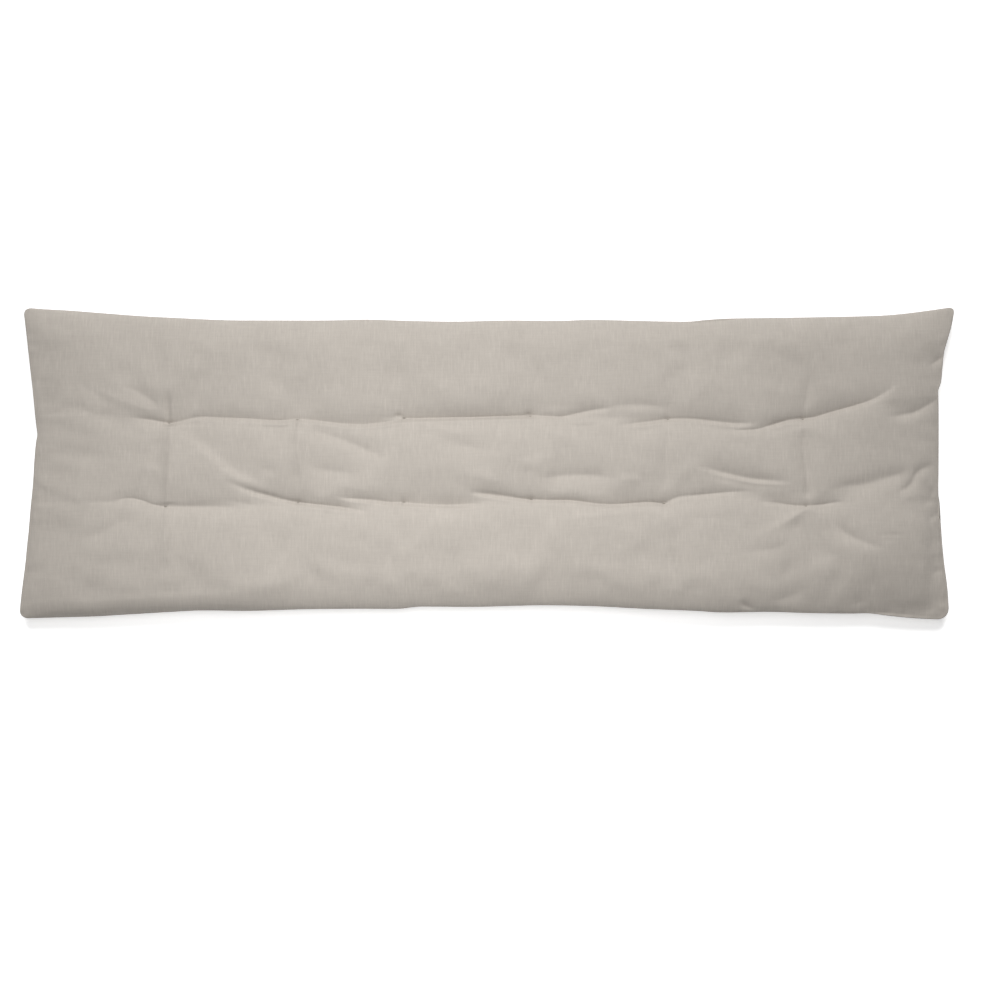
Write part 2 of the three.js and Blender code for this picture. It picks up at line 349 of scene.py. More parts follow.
# The other folds of the face, from the left.
FACE_CREASES = (
    ridge("left seam, fold", 4.5, 16, 7, ((-880, -20), (-856, -35), (-828, -50)), fade_in=0, fade_out=0.7,
          rounding=3),
    ridge("left seam, low tuck", 2.6, 14, 7, ((-893, -178), (-868, -183), (-842, -185)), fade_in=0,
          fade_out=0.8, rounding=3),
    trough("left end, upper fan", 3.6, 9, 8, ((-712, 157), (-676, 143), (-644, 124), (-620, 100)),
           fade_in=0.5, fade_out=0.3, rounding=3),
    ridge("left end, upper swell", 2.8, 10, 15, ((-785, 156), (-730, 136), (-688, 119), (-650, 106),
          (-622, 94)), fade_in=0.5, fade_out=0.3, rounding=4),
    trough("left end, lower fan", 1.8, 12, 9, ((-800, 170), (-770, 150), (-730, 124), (-690, 104)),
           fade_in=0.4, fade_out=0.5, rounding=5),
    trough("left end, low fold", 5, 18, 26, ((-830, -168), (-775, -143), (-735, -126), (-690, -106),
           (-640, -94)), fade_in=0.5, fade_out=0.5, rounding=5),
    trough("left end, low dent", 2, 18, 20, ((-765, -190), (-710, -184), (-640, -166)), fade_in=0.5,
           fade_out=0.5, rounding=8),
    trough("left end, hollow", 2, 20, 16, ((-700, 32), (-665, 24), (-625, 30)), rounding=8),
    trough("tuft 1, upright", 7, 6, 4, ((-612, 78), (-612, 102), (-612, 126), (-613, 160)),
           fade_in=0, fade_out=0.75, rounding=1.2, core=1.5),
    ridge("column 1, crease", 9, 18, 22, ((-611, -79), (-610, -45), (-607, 0), (-605, 40), (-605, 77)),
          fade_in=0.06, fade_out=0.02, rounding=0.8),
    trough("column 1, hollow beside it", 2, 22, 18, ((-637, -15), (-635, 20), (-633, 58)), rounding=8),
    ridge("column 1, low crease", 10, 32, 16, ((-614, -205), (-613, -120), (-611, -80)), fade_in=0.6,
          fade_out=0, rounding=0.8),
    ridge("slanting pleat, crest", 3.6, 9, 40, ((-606, 74), (-585, 56), (-565, 41), (-545, 26), (-525, 9),
          (-505, -9), (-480, -25), (-450, -38), (-420, -48), (-385, -58)), fade_in=0.1, fade_out=0.35,
          rounding=2.5),
    trough("slanting pleat, foot", 4, 32, 9, ((-598, 82), (-577, 65), (-557, 51), (-536, 36), (-516, 19),
           (-496, 1), (-470, -15), (-440, -27), (-405, -36)), fade_in=0.12, fade_out=0.4, rounding=3),
    trough("bay 1, hollow", 2, 10, 10, ((-435, -4), (-420, -10), (-400, -14)), rounding=5),
    trough("tuft 2, upright", 4.5, 9, 5, ((-363, 88), (-362, 115), (-364, 155)), fade_in=0, fade_out=0.9,
           rounding=1.5),
    ridge("column 2, crease", 8, 13, 17, ((-362, -30), (-361, 40), (-360, 84)), fade_in=0.75, fade_out=0,
          rounding=1),
    trough("bay 2, slanting fold", 6, 14, 9, ((-345, 74), (-320, 63), (-295, 54), (-265, 44), (-240, 33),
           (-215, 22), (-180, 12)), fade_in=0.15, fade_out=0.35, rounding=4),
    trough("bay 2, low dent", 4, 12, 16, ((-360, 0), (-315, -8), (-275, -14), (-225, -22)), fade_in=0.4,
           fade_out=0.5, rounding=4),
    ridge("bay 2, low swell", 2.2, 14, 16, ((-320, -30), (-280, -38), (-240, -46), (-205, -55)), rounding=4),
    trough("tuft 3, upright", 5, 7, 6, ((-160, 88), (-162, 126)), fade_in=0, fade_out=0.9, rounding=1.2,
           core=1.5),
    trough("tuft 3, short tuck", 10, 7, 4, ((-181, 93), (-171, 94), (-159, 93)), fade_in=0.4,
           fade_out=0.3, rounding=2),
    ridge("bay 3, lip", 4.2, 12, 14, ((-148, 82), (-105, 73), (-60, 63), (-10, 52)), fade_in=0.25,
          fade_out=0.5, rounding=3),
    trough("bay 3, dent", 3.4, 12, 14, ((-105, 56), (-60, 42), (-10, 30), (40, 26)), fade_in=0.5,
           fade_out=0.5, rounding=4),
    ridge("bay 3, low swell", 2.5, 18, 14, ((-60, -10), (-15, -20), (25, -32), (55, -44)), rounding=4),
    trough("column 3, low crease", 2.4, 7, 5, ((-159, -70), (-160, -25)), fade_in=0, fade_out=0.9),
    ridge("column 3, high crease", 4, 16, 14, ((-158, 10), (-158, 50), (-158, 86)), fade_in=0.7, fade_out=0,
           rounding=1.5),
    trough("tuft 4, upright", 5, 7, 5, ((82, 96), (80, 112), (80, 140)), fade_in=0, fade_out=0.8,
           rounding=1.2, core=1.2),
    trough("tuft 4, short tuck", 9, 6, 4, ((72, 97), (81, 98), (92, 97)), rounding=2),
    trough("bay 4, small trough", 1.8, 4, 8, ((150, 77), (185, 76), (225, 77)), rounding=1.2),
    trough("bay 4, arch", 8, 15, 20, ((85, -30), (105, -25), (140, -21), (178, -19), (217, -21),
           (245, -26), (268, -38)), fade_in=0.35, fade_out=0.4, rounding=2.5),
    ridge("bay 4, bump", 2, 6, 7, ((245, -25), (278, -27), (310, -31)), fade_in=0.5, fade_out=0.5,
          rounding=3),
    trough("tuft 5, upright", 5.5, 14, 16, ((350, 88), (350, 110), (351, 150)), fade_in=0, fade_out=0.8,
           rounding=1.5, core=1),
    trough("column 5, crease", 3, 16, 12, ((341, -70), (343, -20), (345, 30), (349, 84)), rounding=1.5),
    ridge("bay 5, rising fold", 2.4, 12, 26, ((366, 108), (395, 129), (425, 157), (452, 190)), fade_in=0.4,
          fade_out=0.5, rounding=4),
    trough("bay 5, low dent", 8.5, 16, 10, ((395, 4), (440, -10), (475, -19), (510, -26), (545, -29),
           (600, -32)), fade_in=0.35, fade_out=0.4, rounding=2, lip=2.2),
    trough("bay 5, small tuck", 1.6, 8, 8, ((465, 46), (490, 41), (515, 32)), rounding=4),
    trough("bay 5, low line", 1.4, 7, 7, ((380, -104), (430, -101), (480, -103)), rounding=3),
    ridge("lower lobe, faint swell", 1.6, 14, 14, ((250, -158), (290, -148), (325, -134)), rounding=4),
    trough("tuft 6, upright", 6, 13, 13, ((608, 90), (615, 125), (619, 155), (630, 200)),
           fade_in=0, fade_out=0.7, rounding=2.5),
    trough("column 6, crease", 5, 12, 13, ((615, -74), (616, -30), (612, 10), (610, 45), (610, 82)),
           fade_in=0.15, fade_out=0.2, rounding=1.5, core=0.8),
    ridge("tent, crest", 7, 12, 17, ((500, -143), (527, -132), (550, -120), (573, -108), (596, -93),
          (609, -86), (621, -82), (632, -88), (643, -99), (654, -111), (666, -123), (680, -135), (705, -149)),
          fade_in=0.5, fade_out=0.5, rounding=1, core=0.5),
    trough("tent, left hollow", 2.2, 9, 7, ((611, -94), (597, -112), (581, -134), (566, -151)), fade_in=0.4,
           fade_out=0.6, rounding=4),
    trough("tent, left foot", 2.2, 10, 12, ((465, -170), (520, -163), (556, -158), (575, -147), (588, -130),
           (600, -112)), fade_in=0.4, fade_out=0.35, rounding=2.5),
    trough("tent, right foot", 7, 15, 8, ((646, -90), (659, -106), (676, -122), (700, -137), (730, -150),
           (782, -161)), fade_in=0.4, fade_out=0.6, rounding=2),
    trough("right end, fine wrinkle", 1.5, 3.5, 3.5, ((738, -136), (765, -133), (802, -133)), rounding=1.5),
    trough("right end, second wrinkle", 1.2, 3.5, 3.5, ((746, -144), (770, -142), (792, -141)), rounding=1.5),
    ridge("right end, low swell", 8, 100, 90, ((610, -150), (690, -154), (770, -157), (868, -160)),
          fade_in=0.5, fade_out=0.12, rounding=50),
    trough("right end, dent", 7.5, 26, 18, ((648, -50), (690, -40), (725, -36), (755, -29), (790, -17),
           (815, -8), (840, 0)), fade_in=0.25, fade_out=0.4, rounding=3),
    trough("right end, hooked fold", 5, 9, 8, ((770, -54), (802, -46), (816, -34), (824, -18), (838, -7),
           (866, 2)), fade_in=0.4, fade_out=0.1, rounding=2),
    trough("right seam, strong fold", 6.5, 14, 9, ((755, 90), (800, 96), (825, 102), (845, 113), (872, 129)),
           fade_in=0.4, fade_out=0, core=1),
    trough("right seam, high tuck", 8, 9, 6, ((845, 188), (866, 199), (890, 215)), fade_in=0.6, fade_out=0,
           core=1),
    trough("right seam, middle tuck", 4, 10, 9, ((838, -88), (850, -66), (866, -40)), fade_in=0.4,
           rounding=3),
    trough("right seam, low notch", 5, 8, 8, ((838, -112), (856, -102), (874, -90)), fade_in=0.6,
           fade_out=0),
    trough("right seam, low tuck", 4.5, 9, 8, ((846, -212), (866, -204), (886, -192)), fade_in=0.6,
           fade_out=0),
    trough("lower lobe, small tuck", 2.2, 11, 12, ((556, -214), (580, -198), (602, -172)), fade_in=0.5,
           fade_out=0.5, rounding=5),
    trough("lower seam, slanting fold", 3, 12, 18, ((535, -266), (575, -253), (600, -242), (622, -222)),
           fade_in=0.4, fade_out=0.5, rounding=4),
    trough("lower seam, notch", 6, 7, 6, ((482, -258), (500, -270), (528, -280)), fade_in=0.4,
           fade_out=0.5, core=1),
    trough("lower seam, right tuck", 3, 10, 10, ((690, -272), (715, -264), (745, -255)), fade_in=0.5,
           fade_out=0.5, rounding=3),
    trough("low right corner, crease", 7, 9, 5, ((736, -284), (785, -286), (830, -284), (862, -275),
           (892, -260)), fade_in=0.4, fade_out=0, core=1),
    trough("low right corner, hollow", 11, 40, 5, ((700, -281), (750, -282), (810, -283), (882, -282)),
           fade_in=0.5, fade_out=0.02, rounding=3),
)


def back_channel(row: str, line: Points) -> tuple[Crease, ...]:
    """Name the creases of one of the back's channels.

    Args:
        row: Name of its row.
        line: The row's tufts and the middles of the bays between them, by turns.

    Returns:
        One trough for each bay.
    """
    bays = [line[k : k + 3] for k in range(0, len(line) - 2, 2)]
    return tuple(
        trough(f"back, {row} bay {number}", 6, 12, 10, bay, fade_in=0, fade_out=0)
        for number, bay in enumerate(bays, 1)
    )


# The folds of the back, which lies on the floor and shows less of them.
BACK_CREASES = (
    *back_channel("upper", ((-611, 81), (-480, 86), (-363, 87), (-260, 84), (-159, 91), (-40, 92), (85, 94),
                  (215, 90), (349, 88), (480, 80), (609, 88))),
    *back_channel("lower", ((-615, -79), (-480, -76), (-363, -72), (-270, -77), (-159, -69), (-40, -72),
                  (86, -64), (215, -71), (342, -72), (480, -64), (613, -78))),
    trough("back, left fan", 6, 18, 14, ((-760, 150), (-690, 125), (-618, 88)), fade_out=0),
    trough("back, left low fan", 6, 18, 14, ((-770, -140), (-700, -112), (-620, -84)), fade_out=0),
    trough("back, right fan", 6, 18, 14, ((614, 92), (690, 122), (780, 165)), fade_in=0),
    trough("back, right low fan", 6, 18, 14, ((618, -84), (700, -120), (775, -150)), fade_in=0),
    trough("back, slanting fold", 5, 20, 14, ((-350, 80), (-280, 30), (-175, -60))),
    trough("back, second slanting fold", 5, 20, 14, ((100, -56), (200, 0), (330, 76))),
)


@dataclass(frozen=True)
class Outline:
    """The edge seam seen from above, as the places of its four sides. All in millimetres.

    Attributes:
        top: Height of the upper long side over the length.
        bottom: Height of the lower long side over the length.
        left: Place of the left end over the width.
        right: Place of the right end over the width.
        corner_radius: Radius of each corner, named for its side and end.
    """

    top: Points = (
        (-900, 300), (-850, 296), (-800, 293), (-750, 289), (-700, 285), (-650, 281.5), (-600, 279),
        (-500, 274.5), (-400, 274), (-300, 274), (-230, 275.5), (-150, 273), (-60, 271.5), (40, 273.5),
        (140, 273), (200, 275), (300, 273), (350, 272), (390, 272), (420, 274.8), (460, 277.5),
        (600, 279.5), (750, 283), (800, 287), (850, 293.5), (900, 301),
    )
    bottom: Points = (
        (-900, -298.5), (-850, -297), (-750, -294), (-700, -291), (-600, -285), (-550, -282.5),
        (-450, -283), (-350, -280), (-250, -279), (-165, -279), (-145, -276.5), (-125, -275), (-20, -275.5),
        (100, -272.5), (200, -274), (300, -279), (400, -283), (450, -286), (540, -285), (620, -287.5),
        (700, -288.5), (735, -288.2), (770, -292.5), (820, -297.5), (900, -301.5),
    )
    left: Points = (
        (-301, -898), (-280, -896), (-250, -892), (-200, -884.5), (-160, -880), (-140, -877.5),
        (-100, -874), (-50, -869.5), (0, -867), (40, -864), (57, -861.5), (75, -863.5), (100, -866),
        (150, -871), (200, -877), (250, -883), (301, -890),
    )
    right: Points = (
        (-301, 890), (-250, 885), (-200, 877), (-150, 872), (-112, 869.5), (-96, 867), (-50, 867),
        (50, 867), (95, 866.5), (110, 866.5), (128, 871.5), (160, 874.5), (200, 878.5), (225, 885),
        (260, 894), (301, 901),
    )
    corner_radius: tuple[tuple[float, float], tuple[float, float]] = ((17, 25), (16, 14))

    def sides(self, x: Array, y: Array) -> tuple[Array, Array]:
        """Measure how far points lie inside the nearer long side and the nearer end.

        Args:
            x: Places along the length.
            y: Places across the width.

        Returns:
            The distance from the long side and the distance from the end.
        """
        to_side = np.where(y > 0, curve_through(self.top)(x) - y, y - curve_through(self.bottom)(x))
        to_end = np.where(x > 0, curve_through(self.right)(y) - x, x - curve_through(self.left)(y))
        return np.maximum(to_side, 0), np.maximum(to_end, 0)

    def radius(self, x: Array, y: Array) -> Array:
        """Pick the corner radius that belongs to each point's quarter."""
        return np.array(self.corner_radius)[(y > 0).astype(int), (x > 0).astype(int)]

    def inset(self, x: Array, y: Array) -> Array:
        """Measure how far points lie inside the outline, with its corners rounded.

        In a corner's square it is the radius less the distance from the circle's centre, and elsewhere the
        smaller of the distances from the long side and from the end.

        Args:
            x: Places along the length.
            y: Places across the width.

        Returns:
            The distance, 0 on the outline.
        """
        to_side, to_end = self.sides(x, y)
        radius = self.radius(x, y)
        cornered = radius - np.hypot(np.maximum(radius - to_side, 0), np.maximum(radius - to_end, 0))
        return np.where((to_side < radius) & (to_end < radius), cornered, np.minimum(to_side, to_end))

    def round_corners(self, x: Array, y: Array) -> tuple[Array, Array]:
        """Move points near a square corner so that the corner's two sides lie on a quarter circle.

        With a and b the shares of the radius by which a point passes the circle's centre, along and across,
        a becomes a times the root of 1 less half of b squared, and b the same with a.

        Args:
            x: Places along the length.
            y: Places across the width.

        Returns:
            The moved places.
        """
        to_side, to_end = self.sides(x, y)
        radius = self.radius(x, y)
        a = np.clip(1 - to_end / radius, 0, 1)
        b = np.clip(1 - to_side / radius, 0, 1)
        back_x = radius * (a - a * np.sqrt(1 - b * b / 2))
        back_y = radius * (b - b * np.sqrt(1 - a * a / 2))
        return x - np.sign(x) * back_x, y - np.sign(y) * back_y


@dataclass(frozen=True)
class Tufting:
    """The twelve tufts, and the two channels that join them. All in millimetres.

    Attributes:
        upper: The upper channel's line over the length.
        lower: The lower channel's line over the length.
        upper_tufts: The tufts of the upper row, from the left.
        lower_tufts: The tufts of the lower row, from the left.
        fade: Length over which a channel dies out beyond its last tuft.
    """

    upper: Points = (
        (-900, 97), (-730, 96), (-611, 81), (-520, 91), (-363, 87), (-253, 81), (-159, 91), (85, 94),
        (220, 92), (349, 88), (497, 70), (609, 88), (700, 112), (900, 140),
    )
    lower: Points = (
        (-900, -84), (-700, -62), (-615, -79), (-480, -76), (-363, -72), (-270, -76), (-159, -69),
        (-80, -73), (86, -64), (190, -70), (342, -72), (440, -56), (530, -60), (613, -78), (730, -66),
        (900, -60),
    )
    upper_tufts: Points = ((-611, 81), (-363, 87), (-159, 91), (85, 94), (349, 88), (609, 88))
    lower_tufts: Points = ((-615, -79), (-363, -72), (-159, -70), (86, -65), (342, -73), (614, -78))
    fade: float = 150

    def line(self, row: Row, x: Array) -> Array:
        """Give the height of a channel's line over the length."""
        return curve_through(self.upper if row is Row.UPPER else self.lower)(x)

    def tufts(self) -> Points:
        """List all the tufts, the upper row first."""
        return self.upper_tufts + self.lower_tufts

    def true_places(self) -> Points:
        """List the tufts' own places, from those of their shade."""
        return tuple((a * DRAWN_IN, b - SHADE_ABOVE) for a, b in self.tufts())

    def presence(self, x: Array) -> Array:
        """Give how much of a channel there is: whole between the outer tufts, dying out beyond them.

        Args:
            x: Places along the length.

        Returns:
            The share, from 0 to 1.
        """
        first, last = self.upper_tufts[0][0], self.upper_tufts[-1][0]
        beyond = np.maximum(np.maximum(first - x, x - last), 0)
        return 1 - smooth_step(beyond / self.fade)

    def channels(self, x: Array, y: Array, above: float, below: float, rounding: float) -> Array:
        """Give the two channels' shape, 1 on their lines.

        Args:
            x: Places along the length.
            y: Places across the width.
            above: Reach of the slope on the upper side.
            below: Reach of the slope on the lower side.
            rounding: Radius of the bottom.

        Returns:
            The share of a channel's depth at each place.
        """
        shapes = []
        for row in Row:
            off = y - self.line(row, x)
            shapes.append(cusp(off, np.where(off > 0, above, below), rounding))
        return self.presence(x) * union(shapes)

    def pinches(self, x: Array, y: Array, reach: float, rounding: float) -> Array:
        """Give the twelve pinches' shape, 1 at each tuft, twice as long as wide, as cusps of the distance."""
        away = [np.hypot((x - a) / 2, y - b) for a, b in self.tufts()]
        return union([cusp(d, reach, rounding) for d in away])

    def puckers(self, x: Array, y: Array, seed: int) -> Array:
        """Make the small gathers that ray out from each tuft.

        Round a tuft the height is the cosine of the number of rays times the bearing, slightly bent, times
        the distance over the reach times e to the power of 1 less that.

        Args:
            x: Places along the length.
            y: Places across the width.
            seed: Picks how each tuft's rays are turned.

        Returns:
            The height, from -1 to 1.
        """
        random = np.random.default_rng(seed)
        count, reach, bend = 7, 11, 1.1
        total = np.zeros(x.shape)
        for a, b in self.tufts():
            away = np.hypot(x - a, y - b) / reach
            bearing = np.arctan2(y - b, x - a)
            rays = np.cos(count * bearing + random.uniform(0, math.tau) + bend * np.sin(2 * bearing))
            total += rays * away * np.exp(1 - away)
        return total


@dataclass(frozen=True)
class SeamEdge:
    """The plain sewn edge: how high it lies, and the thin lip that the turned cloth makes. Millimetres.

    Attributes:
        height: Height above the floor midway along each side.
        corner_drop: How much lower the corners lie.
        wander: How far the seam wanders up and down.
        side_wave: Run along and across over which a long side's wander turns by a radian.
        end_wave: The same up an end.
        lip: Width of the pressed lip outside the filling.
        wide_lip: What is added to it at the low right corner, where the cloth was trimmed wider.
        upper_lip: What is added to it along a stretch of the upper side.
        thickness: Half thickness of the lip.
    """

    height: float = 40
    corner_drop: float = 12
    wander: float = 2.5
    side_wave: tuple[float, float] = (118, 160)
    end_wave: float = 75
    lip: float = 1.4
    wide_lip: float = 5.5
    upper_lip: float = 2.2
    thickness: float = 0.9

    def level(self, x: Array, y: Array) -> Array:
        """Give the height of the seam's surface, which wanders along the sides and drops at the corners.

        The drop follows the fourth powers of the shares of the half length and the half width.

        Args:
            x: Places along the length.
            y: Places across the width.

        Returns:
            The height at each place.
        """
        along, across = x / HALF_LENGTH, y / HALF_WIDTH
        drop = self.corner_drop * np.abs(along) ** 4 * np.abs(across) ** 4
        run_x, run_y = self.side_wave
        wander = np.sin(x / run_x + y / run_y) * across**2 + np.sin(y / self.end_wave) * along / 2
        return self.height - drop + self.wander * wander

    def lip_width(self, x: Array, y: Array) -> Array:
        """Give the width of the lip.

        At the low right corner it is wider from 725 mm along the lower side and, round the corner, up the
        end to 245 mm below the middle. On the upper side it is wider from 385 to 480 mm. Each bound has a
        smooth step.

        Args:
            x: Places along the length.
            y: Places across the width.

        Returns:
            The width at each place.
        """
        low = smooth_step((x - 725) / 60) * smooth_step((-262 - y) / 20)
        turned = smooth_step((x - 848) / 20) * smooth_step((-245 - y) / 20)
        upper = smooth_step((x - 385) / 20) * smooth_step((480 - x) / 30) * smooth_step((y - 240) / 20)
        return self.lip + self.wide_lip * np.maximum(low, turned) + self.upper_lip * upper


@dataclass(frozen=True)
class Stuffing:
    """How the filling swells one panel. All in millimetres.

    Attributes:
        crown: Height of the panel above the seam over the width, where nothing holds it down.
        upper_roll: Distance from the upper seam to where the panel is level, over the length.
        lower_roll: The same, from the lower seam.
        end_roll: The same, from an end seam.
        power: Of the rounded profile; 2 would leave the seam upright.
        channel: Depth of the broad channels.
        channel_above: Reach of a channel's upper slope.
        channel_below: Reach of its lower slope.
        pinch: Extra depth at a tuft.
        pinch_reach: Reach of a pinch.
        pinch_rounding: Radius of its bottom.
        pucker: Height of the small gathers round a tuft.
        ripples: Height, wavelength, seed and stretch of each set of soft ripples.
        gather: Height of the gathers along the seam.
        gather_seed: Picks the gathers' waves.
        creases: The panel's folds.
    """

    crown: Points
    upper_roll: Points
    lower_roll: Points
    end_roll: float
    power: float
    channel: float
    channel_above: float
    channel_below: float
    pinch: float
    pinch_reach: float
    pinch_rounding: float
    pucker: float
    ripples: tuple[tuple[float, float, int, float], ...]
    gather: float
    gather_seed: int
    creases: tuple[Crease, ...]

    def side_roll(self, x: Array, y: Array) -> Array:
        """Give the reach of the roll from the nearer long seam."""
        return np.where(y > 0, curve_through(self.upper_roll)(x), curve_through(self.lower_roll)(x))

    def roll(self, distance: Array, reach: Array | float) -> Array:
        """Give the profile inwards from a seam: 1 less the rest to the power, all to 1 over the power."""
        rest = 1 - np.clip(distance / reach, 0, 1)
        return (1 - rest**self.power) ** (1 / self.power)


FACE_STUFFING = Stuffing(
    crown=((-290, 22), (-120, 24), (-60, 22), (0, 21.5), (60, 22), (140, 21.5), (200, 19), (290, 17)),
    upper_roll=((-900, 44), (-400, 44), (400, 44), (900, 44)),
    lower_roll=((-900, 30), (-700, 32), (-500, 36), (-330, 68), (-40, 76), (280, 76), (470, 50), (560, 60),
                (690, 118), (900, 125)),
    end_roll=120, power=1.65, channel=7.5, channel_above=42, channel_below=22, pinch=2.5, pinch_reach=5,
    pinch_rounding=2, pucker=0, ripples=((0.9, 150, 11, 1.5), (0.25, 60, 12, 1.3)), gather=0.4,
    gather_seed=31, creases=CHANNEL_CREASES + FACE_CREASES,
)
BACK_STUFFING = Stuffing(
    crown=((-290, 48), (290, 48)),
    upper_roll=((-900, 98), (900, 98)),
    lower_roll=((-900, 98), (900, 98)),
    end_roll=145, power=1.8, channel=11, channel_above=22, channel_below=22, pinch=8, pinch_reach=15,
    pinch_rounding=4, pucker=0.8, ripples=((0.7, 140, 21, 1.4),), gather=0.7, gather_seed=41,
    creases=BACK_CREASES,
)


@dataclass(frozen=True)
class ClothGrid:
    """The cloth's grid: how the two panels are divided, and where each point lies seen from above.

    Attributes:
        outline: The edge seam.
        tufting: The tufts and channels that the grid's lines follow.
        end_steps: Steps from an end seam to its first column of tufts.
        bay_steps: Steps between two columns.
        outer_steps: Steps across an outer lobe.
        middle_steps: Steps across the middle lobe.
    """

    outline: Outline
    tufting: Tufting
    end_steps: int = 68
    bay_steps: int = 52
    outer_steps: int = 66
    middle_steps: int = 60

    def stations(self) -> tuple[Array, Array]:
        """List the grid's stations along and across, close together at the seams, tufts and channels.

        Returns:
            Stations along, one whole step for each run between columns, and stations across, one for each
            lobe.
        """
        at_end, at_tufts, at_side, at_channel = 0.24, 0.75, 0.25, 0.4
        bays = len(self.tufting.upper_tufts) - 1
        ends = graded(self.end_steps, at_end, at_tufts)
        runs = [ends] + [graded(self.bay_steps, at_tufts, at_tufts)] * bays + [1 - ends[::-1]]
        along = np.concatenate([[0.0]] + [run + s[1:] for run, s in enumerate(runs)])
        outer = graded(self.outer_steps, at_side, at_channel)
        lobes = [outer, graded(self.middle_steps, at_channel, at_channel), 1 - outer[::-1]]
        across = np.concatenate([[0.0]] + [lobe + s[1:] for lobe, s in enumerate(lobes)])
        return along, across

    def plan(self) -> tuple[Array, Array]:
        """Work out where each grid point lies seen from above.

        Along, a point lies between its neighbouring columns by its station's share, and each column leans
        from its lower tuft to its upper one. Across, it lies by its share between the seams and channels.

        Returns:
            The places along and across, as arrays with a row for each station across.
        """
        along, across = (grid.copy() for grid in np.meshgrid(*self.stations()))
        lean = np.clip(across - 1, 0, 1)
        rough_y = across / 3 * (2 * HALF_WIDTH) - HALF_WIDTH
        edges = [curve_through(self.outline.left)(rough_y)]
        for (low_x, _), (high_x, _) in zip(self.tufting.lower_tufts, self.tufting.upper_tufts):
            edges.append(DRAWN_IN * (low_x + (high_x - low_x) * lean))
        edges.append(curve_through(self.outline.right)(rough_y))
        x = self.between(np.array(edges), along)
        lines = [
            curve_through(self.outline.bottom)(x),
            self.tufting.line(Row.LOWER, x / DRAWN_IN) - SHADE_ABOVE,
            self.tufting.line(Row.UPPER, x / DRAWN_IN) - SHADE_ABOVE,
            curve_through(self.outline.top)(x),
        ]
        y = self.between(np.array(lines), across)
        return self.outline.round_corners(x, y)

    @staticmethod
    def between(lines: Array, station: Array) -> Array:
        """Blend evenly between the two lines on either side of each station.

        Args:
            lines: The lines' places, one line after the other.
            station: Stations, where line number k has station k.

        Returns:
            The place at each station.
        """
        k = np.clip(station.astype(int), 0, len(lines) - 2)
        low = np.take_along_axis(lines, k[None], 0)[0]
        high = np.take_along_axis(lines, k[None] + 1, 0)[0]
        return low + (high - low) * (station - k)


@dataclass(frozen=True)
class CoverCloth:
    """The cover's finish: plain-woven greige cloth of uneven, slubbed yarn.

    Attributes:
        light: Colour of the yarn's light parts, and of the weave's raised threads, painted lighter as if lit.
        dark: Colour of its dark parts, and of the low gaps between the threads, a painted shade.
        thread: Distance from one thread to the next, in metres.
        roughness: Of the cloth.
        sheen: Weight of its dusty sheen.
        relief: Height of the weave, in metres.
    """

    light: tuple[float, float, float] = (0.460, 0.422, 0.380)
    dark: tuple[float, float, float] = (0.330, 0.302, 0.270)
    thread: float = 0.00085
    roughness: float = 0.92
    sheen: float = 0.12
    relief: float = 0.00022

    def make(self, groups: "ClothGroups") -> bpy.types.Material:
        """Build the cover's material.

        Args:
            groups: The shared node groups.

        Returns:
            The material.
        """
        material, tree, shader = plain_material("cover cloth")
        uv = tree.nodes.new("ShaderNodeUVMap")
        uv.uv_map = WEAVE_MAP
        place = {"Vector": uv.outputs["UV"]}
        weave = place_group(tree, groups.weave, {"Thread": self.thread, "Unevenness": 0.35, **place})
        upright = place_group(tree, groups.slub, {"Across": 0.0021, "Along": 0.034, "Share": 0.52, **place})
        level = place_group(tree, groups.slub, {"Across": 0.048, "Along": 0.0022, "Share": 0.50, **place})
        pale = place_group(tree, groups.slub, {"Across": 0.0026, "Along": 0.044, "Share": 0.74, **place})
        deep = place_group(tree, groups.slub, {"Across": 0.0024, "Along": 0.022, "Share": 0.73, **place})
        mottle = place_group(tree, groups.mottle, {"Size": 0.034, **place})
        slubs = [(upright, 0.19), (level, 0.20), (pale, 0.60), (deep, -0.42)]
        # Part of the tone follows the weave's height: painted shade in the low gaps between threads and
        # painted light on the raised threads.
        tone = weighted_sum(tree, slubs + [(mottle, 0.32), (weave, 0.11)], 0.135)
        height = weighted_sum(tree, [(weave, 1.0), (upright, 0.5), (level, 0.3)], 0.0)
        bump = add_node(tree, "Bump", {"Strength": 0.7, "Distance": self.relief, "Height": height})
        finish = {
            "Base Color": two_tone(tree, self.dark, self.light, tone),
            "Normal": bump.outputs["Normal"],
            "Roughness": self.roughness,
            "Specular IOR Level": 0.2,
            "Sheen Weight": self.sheen,
            "Sheen Roughness": 0.5,
        }
        feed(tree, shader, finish)
        return material


